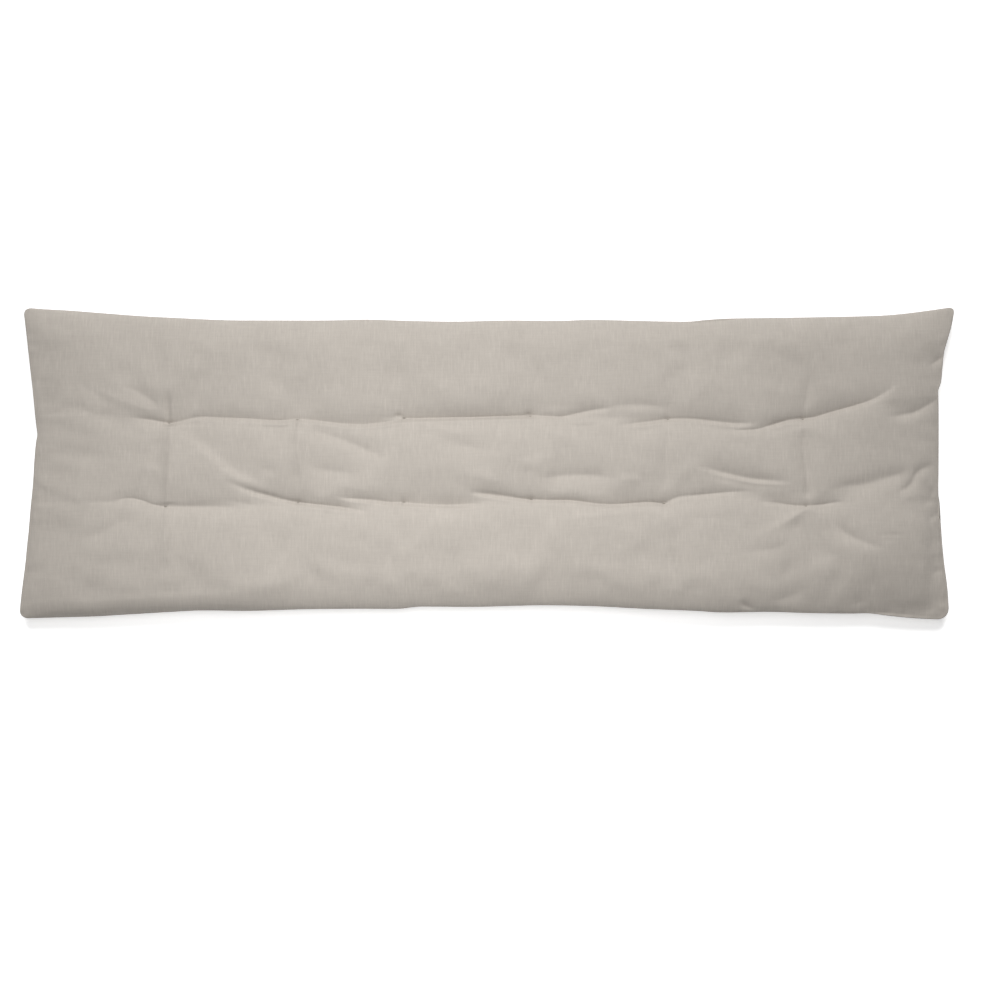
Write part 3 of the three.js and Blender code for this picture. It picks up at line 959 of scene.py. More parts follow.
@dataclass(frozen=True)
class TuftingThread:
    """The finish of the tufting stitches: strong twisted thread, a little darker than the cloth.

    Attributes:
        light: Colour on the strands' crowns, painted lighter as if lit.
        dark: Colour in the grooves between them, a painted shade.
        twist: Length of one turn of the twist, in metres.
        slant: Slant of the strands, in degrees.
        roughness: Of the thread.
    """

    light: tuple[float, float, float] = (0.33, 0.30, 0.26)
    dark: tuple[float, float, float] = (0.20, 0.18, 0.155)
    twist: float = 0.0016
    slant: float = 38
    roughness: float = 0.7

    def make(self, groups: "ClothGroups") -> bpy.types.Material:
        """Build the thread's material, with slanting strands painted light on their crowns and painted shade
        in the grooves between them.

        Args:
            groups: The shared node groups.

        Returns:
            The material.
        """
        material, tree, shader = plain_material("tufting thread")
        uv = tree.nodes.new("ShaderNodeUVMap")
        uv.uv_map = WEAVE_MAP
        turned = {"Vector": uv.outputs["UV"], "Rotation": (0, 0, math.radians(self.slant))}
        place = add_node(tree, "Mapping", turned).outputs["Vector"]
        strands = place_group(tree, groups.weave, {"Thread": self.twist, "Unevenness": 0.2, "Vector": place})
        # The strands' pattern only sets the colour, with no bump: painted shade in the grooves and painted
        # light on the crowns.
        colour = two_tone(tree, self.dark, self.light, strands)
        feed(tree, shader, {"Base Color": colour, "Roughness": self.roughness})
        return material


def place_object(name: str, data: bpy.types.ID) -> bpy.types.Object:
    """Make an object and put it in the scene.

    Args:
        name: Of the object.
        data: Its mesh, light or camera.

    Returns:
        The object.
    """
    placed = bpy.data.objects.new(name, data)
    bpy.context.scene.collection.objects.link(placed)
    return placed


def corner_points(mesh: bpy.types.Mesh) -> Array:
    """List the points at the corners of a mesh's faces.

    Args:
        mesh: The mesh.

    Returns:
        The point's number for each corner, face after face.
    """
    corners = np.zeros(len(mesh.loops), np.int32)
    mesh.loops.foreach_get("vertex_index", corners)
    return corners


def finish_mesh(mesh: bpy.types.Mesh, laid: Array) -> None:
    """Lay the weave's map on a mesh and smooth its faces.

    Args:
        mesh: The mesh.
        laid: Place of each corner on the weave, in metres.
    """
    weave = mesh.uv_layers.new(name=WEAVE_MAP)
    weave.data.foreach_set("uv", laid.astype(np.float32).ravel())
    mesh.polygons.foreach_set("use_smooth", np.ones(len(mesh.polygons), bool))
    mesh.update()


def plain_material(name: str) -> tuple[bpy.types.Material, bpy.types.NodeTree, bpy.types.Node]:
    """Start a node material.

    Args:
        name: Of the material.

    Returns:
        The material, its node tree and its Principled shader.
    """
    material = bpy.data.materials.new(name)
    material.use_nodes = True
    tree = material.node_tree
    return material, tree, tree.nodes["Principled BSDF"]


def add_node(tree: bpy.types.NodeTree, kind: str, values: dict[str | int, object]) -> bpy.types.Node:
    """Add the shader node of a kind, such as Bump, to a tree and feed its inputs."""
    return feed(tree, tree.nodes.new(f"ShaderNode{kind}"), values)


def feed(tree: bpy.types.NodeTree, node: bpy.types.Node, values: dict[str | int, object]) -> bpy.types.Node:
    """Feed a node's inputs: numbers and colours are set, and other nodes' outputs are linked.

    Args:
        tree: The node's tree.
        node: The node.
        values: Its inputs by name or number.

    Returns:
        The node.
    """
    for name, value in values.items():
        if isinstance(value, bpy.types.NodeSocket):
            tree.links.new(value, node.inputs[name])
        else:
            node.inputs[name].default_value = value
    return node


def place_group(
    tree: bpy.types.NodeTree, group: bpy.types.NodeTree, values: dict[str, object]
) -> bpy.types.NodeSocket:
    """Place a shared node group in a tree and feed its inputs.

    Args:
        tree: The tree to place it in.
        group: The group.
        values: Its inputs by name.

    Returns:
        Its output.
    """
    node = tree.nodes.new("ShaderNodeGroup")
    node.node_tree = group
    return feed(tree, node, values).outputs[0]


def two_tone(
    tree: bpy.types.NodeTree, dark: tuple[float, ...], light: tuple[float, ...], tone: bpy.types.NodeSocket
) -> bpy.types.NodeSocket:
    """Blend from a dark colour to a light one.

    Args:
        tree: The tree to add the blend to.
        dark: The colour where the tone is 0.
        light: The colour where it is 1.
        tone: The tone.

    Returns:
        The colour.
    """
    blend = tree.nodes.new("ShaderNodeMix")
    blend.data_type = "RGBA"
    return feed(tree, blend, {"A": (*dark, 1), "B": (*light, 1), "Factor": tone}).outputs["Result"]


def math_node(tree: bpy.types.NodeTree, operation: str, *values: object) -> bpy.types.NodeSocket:
    """Add a Math node whose inputs are numbers or other nodes' outputs.

    Args:
        tree: The tree to add it to.
        operation: The node's operation.
        values: Its inputs in order.

    Returns:
        Its output.
    """
    node = tree.nodes.new("ShaderNodeMath")
    node.operation = operation
    return feed(tree, node, dict(enumerate(values))).outputs[0]


def weighted_sum(
    tree: bpy.types.NodeTree, parts: list[tuple[bpy.types.NodeSocket, float]], base: float
) -> bpy.types.NodeSocket:
    """Add up outputs times their weights.

    Args:
        tree: The tree to add the sum to.
        parts: The outputs and their weights.
        base: What the sum starts from.

    Returns:
        The sum.
    """
    total: object = base
    for socket, weight in parts:
        total = math_node(tree, "MULTIPLY_ADD", socket, weight, total)
    return total


class ClothGroups:
    """The shader node groups that the cloth's materials share."""

    def __init__(self) -> None:
        """Build the three groups."""
        self.weave = self.make_weave()
        self.slub = self.make_slub()
        self.mottle = self.make_mottle()

    @staticmethod
    def start(
        name: str, numbers: dict[str, float], output: str
    ) -> tuple[bpy.types.NodeTree, dict, bpy.types.Node]:
        """Start a group with a Vector input, number inputs and one output.

        Args:
            name: Of the group.
            numbers: Names and default values of the number inputs.
            output: Name of the output.

        Returns:
            The group, its input sockets by name, and its output node.
        """
        group = bpy.data.node_groups.new(name, "ShaderNodeTree")
        group.interface.new_socket("Vector", in_out="INPUT", socket_type="NodeSocketVector")
        for key, value in numbers.items():
            socket = group.interface.new_socket(key, in_out="INPUT", socket_type="NodeSocketFloat")
            socket.default_value = value
        group.interface.new_socket(output, in_out="OUTPUT", socket_type="NodeSocketFloat")
        source = group.nodes.new("NodeGroupInput")
        return group, {socket.name: socket for socket in source.outputs}, group.nodes.new("NodeGroupOutput")

    def make_weave(self) -> bpy.types.NodeTree:
        """Build the plain weave.

        With u and v the place in threads, a warp thread's height is the size of the sine of pi u, times half
        of 1 plus the cosine of pi v, turned by half a wave on every other thread. A weft thread's is the same
        with u and v changed over, and the higher one shows. The place is first shifted by noise, times the
        unevenness and up to four threads, so that no thread runs dead straight.

        Returns:
            The group, with output Height.
        """
        group, inputs, out = self.start("plain weave", {"Thread": 0.0008, "Unevenness": 0.3}, "Height")
        noise = add_node(group, "TexNoise", {"Vector": inputs["Vector"], "Scale": 140, "Detail": 1})
        drifts = add_node(group, "SeparateColor", {"Color": noise.outputs["Color"]}).outputs
        split = add_node(group, "SeparateXYZ", {"Vector": inputs["Vector"]}).outputs
        places = []
        most_threads = 4.0
        for axis, shift in (("X", "Red"), ("Y", "Green")):
            threads = math_node(group, "DIVIDE", split[axis], inputs["Thread"])
            drift = math_node(group, "MULTIPLY", drifts[shift], inputs["Unevenness"])
            places.append(math_node(group, "MULTIPLY_ADD", drift, most_threads, threads))
        heights = []
        for (own, other), turn in ((places, 0.0), (places[::-1], math.pi)):
            turned = math_node(group, "MULTIPLY", own, math.pi)
            body = math_node(group, "ABSOLUTE", math_node(group, "SINE", turned))
            parity = math_node(group, "MULTIPLY_ADD", math_node(group, "FLOOR", own), math.pi, turn)
            phase = math_node(group, "MULTIPLY_ADD", other, math.pi, parity)
            over = math_node(group, "MULTIPLY_ADD", math_node(group, "COSINE", phase), 0.5, 0.5)
            heights.append(math_node(group, "MULTIPLY", body, over))
        feed(group, out, {"Height": math_node(group, "MAXIMUM", *heights)})
        return group

    def make_slub(self) -> bpy.types.NodeTree:
        """Build the slubs, the thick and thin places of the yarn.

        They are noise on the place divided by the size of one slub across and along, so that they are drawn
        out along their thread, with the contrast raised about the share of the cloth that is left plain.

        Returns:
            The group, with output Slub.
        """
        contrast = 2.2
        numbers = {"Across": 0.002, "Along": 0.03, "Share": 0.5}
        group, inputs, out = self.start("slubbed yarn", numbers, "Slub")
        split = add_node(group, "SeparateXYZ", {"Vector": inputs["Vector"]}).outputs
        drawn = {
            axis: math_node(group, "DIVIDE", split[axis], inputs[size])
            for axis, size in (("X", "Across"), ("Y", "Along"))
        }
        place = add_node(group, "CombineXYZ", drawn).outputs["Vector"]
        uneven = {"Vector": place, "Scale": 1.0, "Detail": 2.5, "Roughness": 0.6}
        noise = add_node(group, "TexNoise", uneven).outputs["Fac"]
        above = math_node(group, "SUBTRACT", noise, inputs["Share"])
        raised = math_node(group, "MULTIPLY_ADD", above, contrast, 0.5)
        kept = math_node(group, "MINIMUM", math_node(group, "MAXIMUM", raised, 0.0), 1.0)
        feed(group, out, {"Slub": kept})
        return group

    def make_mottle(self) -> bpy.types.NodeTree:
        """Build the soft clouds of lighter and darker yarn, as noise of the given size.

        Returns:
            The group, with output Cloud.
        """
        group, inputs, out = self.start("mottled dye", {"Size": 0.03}, "Cloud")
        scale = math_node(group, "DIVIDE", 1.0, inputs["Size"])
        clouds = {"Vector": inputs["Vector"], "Scale": scale, "Detail": 4, "Roughness": 0.65}
        feed(group, out, {"Cloud": add_node(group, "TexNoise", clouds).outputs["Fac"]})
        return group


@dataclass(frozen=True)
class ClothSettling:
    """A cloth simulation that lets the face's slack settle into soft wrinkles between seams and tufts.

    The face is held along the seam and at the tufts, its cloth is a little larger than its shape, and the
    filling presses it out. The broad swelling is then taken off again, and only the wrinkles are kept.

    Attributes:
        every: Steps of the face's grid between two simulated points.
        frames: Frames to run.
        slack: Share by which the cloth is longer than the shape it covers.
        pressure: Push of the filling.
        hold_reach: Distance from a tuft within which the cloth is held, in millimetres.
        broad: Width of the averaging that finds the broad swelling, in simulated points along and across.
        grain: Width of the averaging that takes off the grid's own grain, in simulated points.
        strength: What the wrinkles are multiplied by.
        limit: Height that a wrinkle doesn't pass, in millimetres.
    """

    every: int = 3
    frames: int = 24
    slack: float = 0.02
    pressure: float = 2.0
    hold_reach: float = 7.0
    broad: tuple[float, float] = (4.5, 6.0)
    grain: float = 0.55
    strength: float = 0.45
    limit: float = 1.8

    def wrinkles(self, face: Array, tufts: Points) -> Array:
        """Run the simulation and work out the wrinkles' height over the face.

        Args:
            face: Points of the smooth face in millimetres, with a row for each station across.
            tufts: Places of the tufts in millimetres.

        Returns:
            The height to add at each point, in millimetres.
        """
        coarse = face[:: self.every, :: self.every]
        piece = self.make_cloth(coarse, tufts)
        settled = self.run(piece).reshape(coarse.shape) / MM
        rise = settled[..., 2] - coarse[..., 2]
        swelling = self.averaged(self.averaged(rise, self.broad[1]).T, self.broad[0]).T
        wrinkled = self.averaged(self.averaged(rise, self.grain).T, self.grain).T
        height = self.limit * np.tanh(self.strength * (wrinkled - swelling) / self.limit)
        height[[0, -1], :] = 0
        height[:, [0, -1]] = 0
        across = self.between_points(face.shape[0], coarse.shape[0])
        along = self.between_points(face.shape[1], coarse.shape[1])
        return across @ height @ along.T

    def make_cloth(self, coarse: Array, tufts: Points) -> bpy.types.Object:
        """Make the cloth that is simulated, with its modifier and the group of its held points.

        Args:
            coarse: The simulated points in millimetres.
            tufts: Places of the tufts.

        Returns:
            The cloth's object.
        """
        ids = np.arange(coarse[..., 0].size).reshape(coarse.shape[:2])
        quads = np.stack([ids[:-1, :-1], ids[:-1, 1:], ids[1:, 1:], ids[1:, :-1]], axis=-1).reshape(-1, 4)
        mesh = bpy.data.meshes.new("settling cloth")
        mesh.from_pydata((coarse.reshape(-1, 3) * MM).tolist(), [], quads.tolist())
        piece = place_object("settling cloth", mesh)
        held = np.zeros(ids.shape, bool)
        held[[0, -1], :] = True
        held[:, [0, -1]] = True
        for a, b in tufts:
            held |= np.hypot(coarse[..., 0] - a, coarse[..., 1] - b) < self.hold_reach
        group = piece.vertex_groups.new(name="held")
        group.add(ids[held].tolist(), 1.0, "REPLACE")
        settings = piece.modifiers.new("cloth", "CLOTH").settings
        settings.vertex_group_mass = "held"
        settings.quality = 6
        settings.mass = 0.25
        settings.bending_stiffness = 2
        for kind, stiffness in (("tension", 25), ("compression", 25), ("shear", 8)):
            setattr(settings, f"{kind}_stiffness", stiffness)
            setattr(settings, f"{kind}_damping", 8)
        settings.air_damping = 3
        settings.shrink_min = -self.slack
        settings.use_pressure = True
        settings.uniform_pressure_force = self.pressure
        settings.effector_weights.gravity = 0
        return piece

    def run(self, piece: bpy.types.Object) -> Array:
        """Step the simulation, read where the points end up and remove the cloth again.

        Args:
            piece: The cloth.

        Returns:
            The settled points in metres, one after the other.
        """
        scene = bpy.context.scene
        first = scene.frame_current
        cache = piece.modifiers["cloth"].point_cache
        cache.frame_start, cache.frame_end = 1, self.frames
        for number in range(1, self.frames + 1):
            scene.frame_set(number)
        settled = piece.evaluated_get(bpy.context.evaluated_depsgraph_get())
        points = np.zeros(len(settled.data.vertices) * 3, np.float32)
        settled.data.vertices.foreach_get("co", points)
        mesh = piece.data
        bpy.data.objects.remove(piece)
        bpy.data.meshes.remove(mesh)
        scene.frame_set(first)
        return points.astype(float)

    @staticmethod
    def averaged(height: Array, width: float) -> Array:
        """Average over neighbouring rows with a bell curve's weights.

        Args:
            height: The heights.
            width: Standard width of the bell curve, in rows.

        Returns:
            The averaged heights.
        """
        row = np.arange(height.shape[0])
        weight = np.exp(-(((row[:, None] - row[None, :]) / width) ** 2) / 2)
        return weight / weight.sum(axis=1, keepdims=True) @ height

    def between_points(self, fine: int, coarse: int) -> Array:
        """Give the weights that draw a smooth curve through every few points.

        With t the share of the way between two points, the four nearest ones weigh minus t plus 2 t squared
        less t cubed, 2 less 5 t squared plus 3 t cubed, t plus 4 t squared less 3 t cubed, and t cubed less
        t squared, each halved.

        Args:
            fine: Number of points wanted.
            coarse: Number of points there are.

        Returns:
            The weights, with a row for each point wanted.
        """
        place = np.arange(fine) / self.every
        low = np.minimum(place.astype(int), coarse - 2)
        t = place - low
        shares = (-t + 2 * t**2 - t**3, 2 - 5 * t**2 + 3 * t**3, t + 4 * t**2 - 3 * t**3, t**3 - t**2)
        weights = np.zeros((fine, coarse))
        for offset, share in zip((-1, 0, 1, 2), shares):
            np.add.at(weights, (np.arange(fine), np.clip(low + offset, 0, coarse - 1)), share / 2)
        return weights


@dataclass
class CushionCover:
    """The filled cover: face and back sewn together round the edge.

    Attributes:
        outline: The edge seam seen from above.
        tufting: The tufts and channels.
        seam: The sewn edge.
        settling: The simulation of the face's wrinkles.
        contact: Height over which the back leaves the floor, in millimetres.
        held: What the rolls' share is multiplied by, and cut off at 1, to give the share of the folds.
        gather_pitch: Wavelength of the gathers along the seam, in millimetres.
        gather_reach: How far they reach inwards.
        gather_start: Distance over which they swell from the lip.
        shift: How far the middle of the outline's box lies from the origin, which is taken off when built.
        grid: How the cloth is divided.
    """

    outline: Outline = field(default_factory=Outline)
    tufting: Tufting = field(default_factory=Tufting)
    seam: SeamEdge = field(default_factory=SeamEdge)
    settling: ClothSettling = field(default_factory=ClothSettling)
    contact: float = 4.0
    held: float = 1.5
    gather_pitch: float = 26
    gather_reach: float = 20
    gather_start: float = 5
    shift: tuple[float, float] = (0.0, 0.0)
    grid: ClothGrid = field(init=False)

    def __post_init__(self) -> None:
        """Lay out the grid."""
        self.grid = ClothGrid(self.outline, self.tufting)

    def filled(self, stuffing: Stuffing, x: Array, y: Array) -> Array:
        """Give the share of the full height that the rolls at the seams leave.

        It is the long side's roll times the end's, both from the inner edge of the lip. At a corner both
        distances shrink by the share that the corner's rounding takes off the nearer one.

        Args:
            stuffing: Of the panel.
            x: Places along the length.
            y: Places across the width.

        Returns:
            The share, 0 on the lip.
        """
        to_side, to_end = self.outline.sides(x, y)
        lip = self.seam.lip_width(x, y)
        rounded = self.outline.inset(x, y) / np.maximum(np.minimum(to_side, to_end), 1e-6)
        side = np.maximum(to_side * rounded - lip, 0)
        end = np.maximum(to_end * rounded - lip, 0)
        return stuffing.roll(side, stuffing.side_roll(x, y)) * stuffing.roll(end, stuffing.end_roll)

    def lip_height(self, x: Array, y: Array) -> Array:
        """Give the half thickness of the lip: a quarter round that is full at the lip's inner edge."""
        depth = np.clip(self.outline.inset(x, y) / self.seam.lip_width(x, y), 0, 1)
        return self.seam.thickness * np.sqrt(1 - (1 - depth) ** 2)

    def gathers(self, x: Array, y: Array, seed: int) -> Array:
        """Make the small gathers along the seam.

        They are waves along the seam that swell from the lip and die out inwards.

        Args:
            x: Places along the length.
            y: Places across the width.
            seed: Picks the waves.

        Returns:
            The height, mostly from -1 to 1.
        """
        inset = self.outline.inset(x, y)
        to_side, to_end = self.outline.sides(x, y)
        along = ripple(x, y * 0, self.gather_pitch, seed)
        up = ripple(x * 0, y, self.gather_pitch, seed + 1)
        waves = np.where(to_side < to_end, along, up)
        return waves * np.exp(-inset / self.gather_reach) * (1 - np.exp(-inset / self.gather_start))

    def swelling(self, stuffing: Stuffing, x: Array, y: Array) -> Array:
        """Work out how far a panel swells from the seam.

        It is the lip, the share left by the rolls times the crown less the channels and pinches plus the
        puckers and ripples, the ridges less the troughs, and the gathers along the seam.

        Args:
            stuffing: Of the panel.
            x: Places along the length.
            y: Places across the width.

        Returns:
            The distance from the seam's level in millimetres.
        """
        channel_rounding, pucker_seed = 6, 6
        share = self.filled(stuffing, x, y)
        seen = x / DRAWN_IN, y + SHADE_ABOVE
        channels = self.tufting.channels(
            *seen, stuffing.channel_above, stuffing.channel_below, channel_rounding
        )
        pinches = self.tufting.pinches(*seen, stuffing.pinch_reach, stuffing.pinch_rounding)
        body = curve_through(stuffing.crown)(y) - stuffing.channel * channels - stuffing.pinch * pinches
        body = body + stuffing.pucker * self.tufting.puckers(*seen, pucker_seed)
        for height, wavelength, seed, stretch in stuffing.ripples:
            body = body + height * ripple(x, y, wavelength, seed, stretch)
        troughs = union([crease.height(*seen) for crease in stuffing.creases if crease.rise < 0])
        ridges = union([crease.height(*seen) for crease in stuffing.creases if crease.rise > 0])
        folds = np.minimum(share * self.held, 1) * (ridges - troughs)
        gathers = stuffing.gather * self.gathers(x, y, stuffing.gather_seed)
        return self.lip_height(x, y) + share * body + folds + gathers

    def height(self, panel: Panel, x: Array, y: Array) -> Array:
        """Work out the height of a panel.

        The face swells up from the seam. The back swells down from it and is held at the floor: over the
        last few millimetres before the floor it turns level, by the square of what is left.

        Args:
            panel: The panel.
            x: Places along the length.
            y: Places across the width.

        Returns:
            The height above the floor in millimetres.
        """
        level = self.seam.level(x, y)
        if panel is Panel.FACE:
            return level + self.swelling(FACE_STUFFING, x, y)
        depth = self.swelling(BACK_STUFFING, x, y)
        over = np.clip(depth - (level - self.contact), 0, 2 * self.contact)
        return level - np.minimum(depth - over**2 / (4 * self.contact), level)

    def wrinkles(self, face: Array) -> Array:
        """Let the face's slack settle into wrinkles, kept low beside the channels.

        Args:
            face: Points of the face in millimetres.

        Returns:
            The height to add at each point.
        """
        settled = self.settling.wrinkles(face, self.tufting.true_places())
        seen = face[..., 0] / DRAWN_IN, face[..., 1] + SHADE_ABOVE
        beside = self.tufting.channels(*seen, above=14, below=12, rounding=6)
        kept_low = 0.6
        return settled * (1 - kept_low * beside)

    def build(self) -> bpy.types.Object:
        """Build the cover as one closed mesh.

        The face takes every grid point, and the back every second one each way. Round the seam the back's
        faces take up the points between, as polygons of five or six sides.

        Returns:
            The cover's object.
        """
        x, y = self.grid.plan()
        self.shift = ((x.max() + x.min()) / 2, (y.max() + y.min()) / 2)
        face = np.stack([x, y, self.height(Panel.FACE, x, y)], axis=-1)
        face[..., 2] += self.wrinkles(face)
        on_seam = np.zeros(x.shape, bool)
        on_seam[[0, -1], :] = True
        on_seam[:, [0, -1]] = True
        face[on_seam, 2] = self.seam.level(x, y)[on_seam]
        back = np.stack([x, y, self.height(Panel.BACK, x, y)], axis=-1)[::2, ::2]
        face_ids = np.arange(x.size).reshape(x.shape)
        back_ids = self.back_numbers(face_ids)
        inner = back[1:-1, 1:-1].reshape(-1, 3)
        points = np.concatenate([face.reshape(-1, 3), inner])
        points = (points - (*self.shift, points[:, 2].min())) * MM
        quads = [face_ids[:-1, :-1], face_ids[:-1, 1:], face_ids[1:, 1:], face_ids[1:, :-1]]
        face_polygons = np.stack(quads, axis=-1).reshape(-1, 4).tolist()
        back_polygons = self.back_polygons(face_ids, back_ids)
        mesh = bpy.data.meshes.new("filled_cover")
        mesh.from_pydata(points.tolist(), [], face_polygons + back_polygons)
        finish_mesh(mesh, self.laid_weave(mesh, face, back, face_ids, back_ids, len(face_polygons)))
        return place_object("filled_cover", mesh)

    @staticmethod
    def back_numbers(face_ids: Array) -> Array:
        """Number the back's points: the seam's keep their numbers, and the rest follow the face's.

        Args:
            face_ids: Numbers of the face's points.

        Returns:
            Numbers of the back's points, which are every second one each way.
        """
        ids = face_ids[::2, ::2].copy()
        inner = ids[1:-1, 1:-1]
        inner[:] = face_ids.size + np.arange(inner.size).reshape(inner.shape)
        return ids

    @staticmethod
    def back_polygons(face_ids: Array, back_ids: Array) -> list[list[int]]:
        """List the back's faces, turned downwards, with the seam's in-between points taken up.

        Args:
            face_ids: Numbers of the face's points.
            back_ids: Numbers of the back's points.

        Returns:
            The faces as lists of point numbers.
        """
        empty = -1
        shape = (back_ids.shape[0] - 1, back_ids.shape[1] - 1)
        middles = {side: np.full(shape, empty) for side in ("left", "top", "right", "bottom")}
        middles["left"][:, 0] = face_ids[1::2, 0]
        middles["top"][-1, :] = face_ids[-1, 1::2]
        middles["right"][:, -1] = face_ids[1::2, -1]
        middles["bottom"][0, :] = face_ids[0, 1::2]
        ring = [
            back_ids[:-1, :-1], middles["left"], back_ids[1:, :-1], middles["top"],
            back_ids[1:, 1:], middles["right"], back_ids[:-1, 1:], middles["bottom"],
        ]
        rings = np.stack(ring, axis=-1).reshape(-1, 8)
        return [[number for number in polygon if number != empty] for polygon in rings.tolist()]

    @staticmethod
    def laid_weave(
        mesh: bpy.types.Mesh, face: Array, back: Array, face_ids: Array, back_ids: Array, face_count: int
    ) -> Array:
        """Work out how the weave lies on the cloth.

        Seen from above the threads run straight, along and across. To keep their distance from each other
        on the rolls at the seams, each grid line's place is moved outwards by the extra run of the cloth,
        which is what its slopes add to its run from the middle, taken as the mean over all rows or columns.
        The back's places are moved aside, to differ from the face's.

        Args:
            mesh: The cover's mesh.
            face: Points of the face in millimetres.
            back: Points of the back.
            face_ids: Numbers of the face's points.
            back_ids: Numbers of the back's points.
            face_count: Number of the face's polygons, which come first.

        Returns:
            Place of each corner of the mesh's faces on the weave, in metres.
        """
        places = []
        for points, ids in ((face, face_ids), (back, back_ids)):
            laid = points[..., :2].copy()
            for axis in (0, 1):
                step = np.diff(points, axis=1 - axis)
                extra = np.linalg.norm(step, axis=2) - np.hypot(step[..., 0], step[..., 1])
                run = np.concatenate([[0.0], np.cumsum(extra.mean(axis=axis))])
                run = run - run[len(run) // 2]
                laid[..., axis] += run[None, :] if axis == 0 else run[:, None]
            place = np.zeros((int(back_ids.max()) + 1, 2))
            place[ids.ravel()] = laid.reshape(-1, 2) * MM
            places.append(place)
        corners = corner_points(mesh)
        starts = np.zeros(len(mesh.polygons), np.int32)
        mesh.polygons.foreach_get("loop_start", starts)
        places[1][face_ids[::2, ::2].ravel()] = places[1][back_ids.ravel()]
        for line in (face_ids[0], face_ids[-1], face_ids[:, 0], face_ids[:, -1]):
            places[1][line[1::2]] = (places[1][line[:-1:2]] + places[1][line[2::2]]) / 2
        is_back = np.arange(len(corners)) >= starts[face_count]
        aside = (0.31, 0.83)
        return np.where(is_back[:, None], places[1][corners] + aside, places[0][corners])

    def height_at(self, panel: Panel, x: float, y: float) -> float:
        """Give the height of one panel at one place, in millimetres."""
        at = np.array([[x]], float), np.array([[y]], float)
        return float(self.height(panel, *at)[0, 0])

    def dress(self, cover: bpy.types.Object, material: bpy.types.Material) -> None:
        """Give the cover its cloth, hang it on the root body and hide the CAD solid that it stands for.

        Args:
            cover: The cover's object.
            material: The cloth.
        """
        cover.data.materials.append(material)
        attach(cover, "root")
        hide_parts("cushion")


@dataclass
class TuftStitches:
    """The short stitches that hold the tufts, one on each panel at each tuft. All in millimetres.

    Attributes:
        cover: The cover they sit on.
        length: Of one stitch.
        radius: Of the thread.
        sink: How far its ends sink into the cloth.
        proud: How far its middle line lies above the cloth.
        sides: Facets round the thread.
        rings: Rings along it.
    """

    cover: CushionCover
    length: float = 8.0
    radius: float = 0.8
    sink: float = 1.6
    proud: float = 0.5
    sides: int = 8
    rings: int = 11

    def build(self) -> bpy.types.Object:
        """Build all the stitches as one mesh.

        A stitch is a closed spindle along X: its radius is the thread's times the fourth root of 1 less the
        fourth power of the share of its half length, and its middle line sinks into the cloth at both ends
        with the square of that share.

        Returns:
            The stitches' object.
        """
        t = np.linspace(-1, 1, self.rings)[:, None]
        turn = (np.arange(self.sides) / self.sides * math.tau)[None, :]
        swell = self.radius * (1 - t**4) ** 0.25
        x = t * self.length / 2 + 0 * turn
        y = swell * np.cos(turn)
        z = swell * np.sin(turn) - self.sink * t**2
        one = np.stack([x, y, z], axis=-1)
        ids = np.arange(self.rings * self.sides).reshape(self.rings, self.sides)
        after = np.roll(ids, -1, axis=1)
        quads = np.stack([ids[:-1], after[:-1], after[1:], ids[1:]], axis=-1).reshape(-1, 4)
        points, faces = [], []
        shift_x, shift_y = self.cover.shift
        for tuft_x, tuft_y in self.cover.tufting.true_places():
            for panel, side in ((Panel.FACE, 1), (Panel.BACK, -1)):
                height = self.cover.height_at(panel, tuft_x, tuft_y) + side * self.proud
                placed = one * (1, side, side) + (tuft_x - shift_x, tuft_y - shift_y, height)
                faces.extend((quads + len(points) * self.rings * self.sides).tolist())
                points.append(placed.reshape(-1, 3))
        mesh = bpy.data.meshes.new("tuft_stitches")
        mesh.from_pydata((np.concatenate(points) * MM).tolist(), [], faces)
        finish_mesh(mesh, self.laid_twist(mesh))
        return place_object("tuft_stitches", mesh)

    def laid_twist(self, mesh: bpy.types.Mesh) -> Array:
        """Work out how the twist lies on the thread: along it and round it.

        Args:
            mesh: The stitches' mesh.

        Returns:
            Place of each corner of the mesh's faces, in metres.
        """
        place = corner_points(mesh) % (self.rings * self.sides)
        along = (place // self.sides) / (self.rings - 1) * self.length * MM
        around = (place % self.sides) / self.sides * math.tau * self.radius * MM
        return np.stack([along, around], axis=-1)

    def dress(self, stitches: bpy.types.Object, material: bpy.types.Material) -> None:
        """Give the stitches their thread and let them ride with the cushion.

        Args:
            stitches: The stitches' object.
            material: The thread.
        """
        stitches.data.materials.append(material)
        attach(stitches, "root")


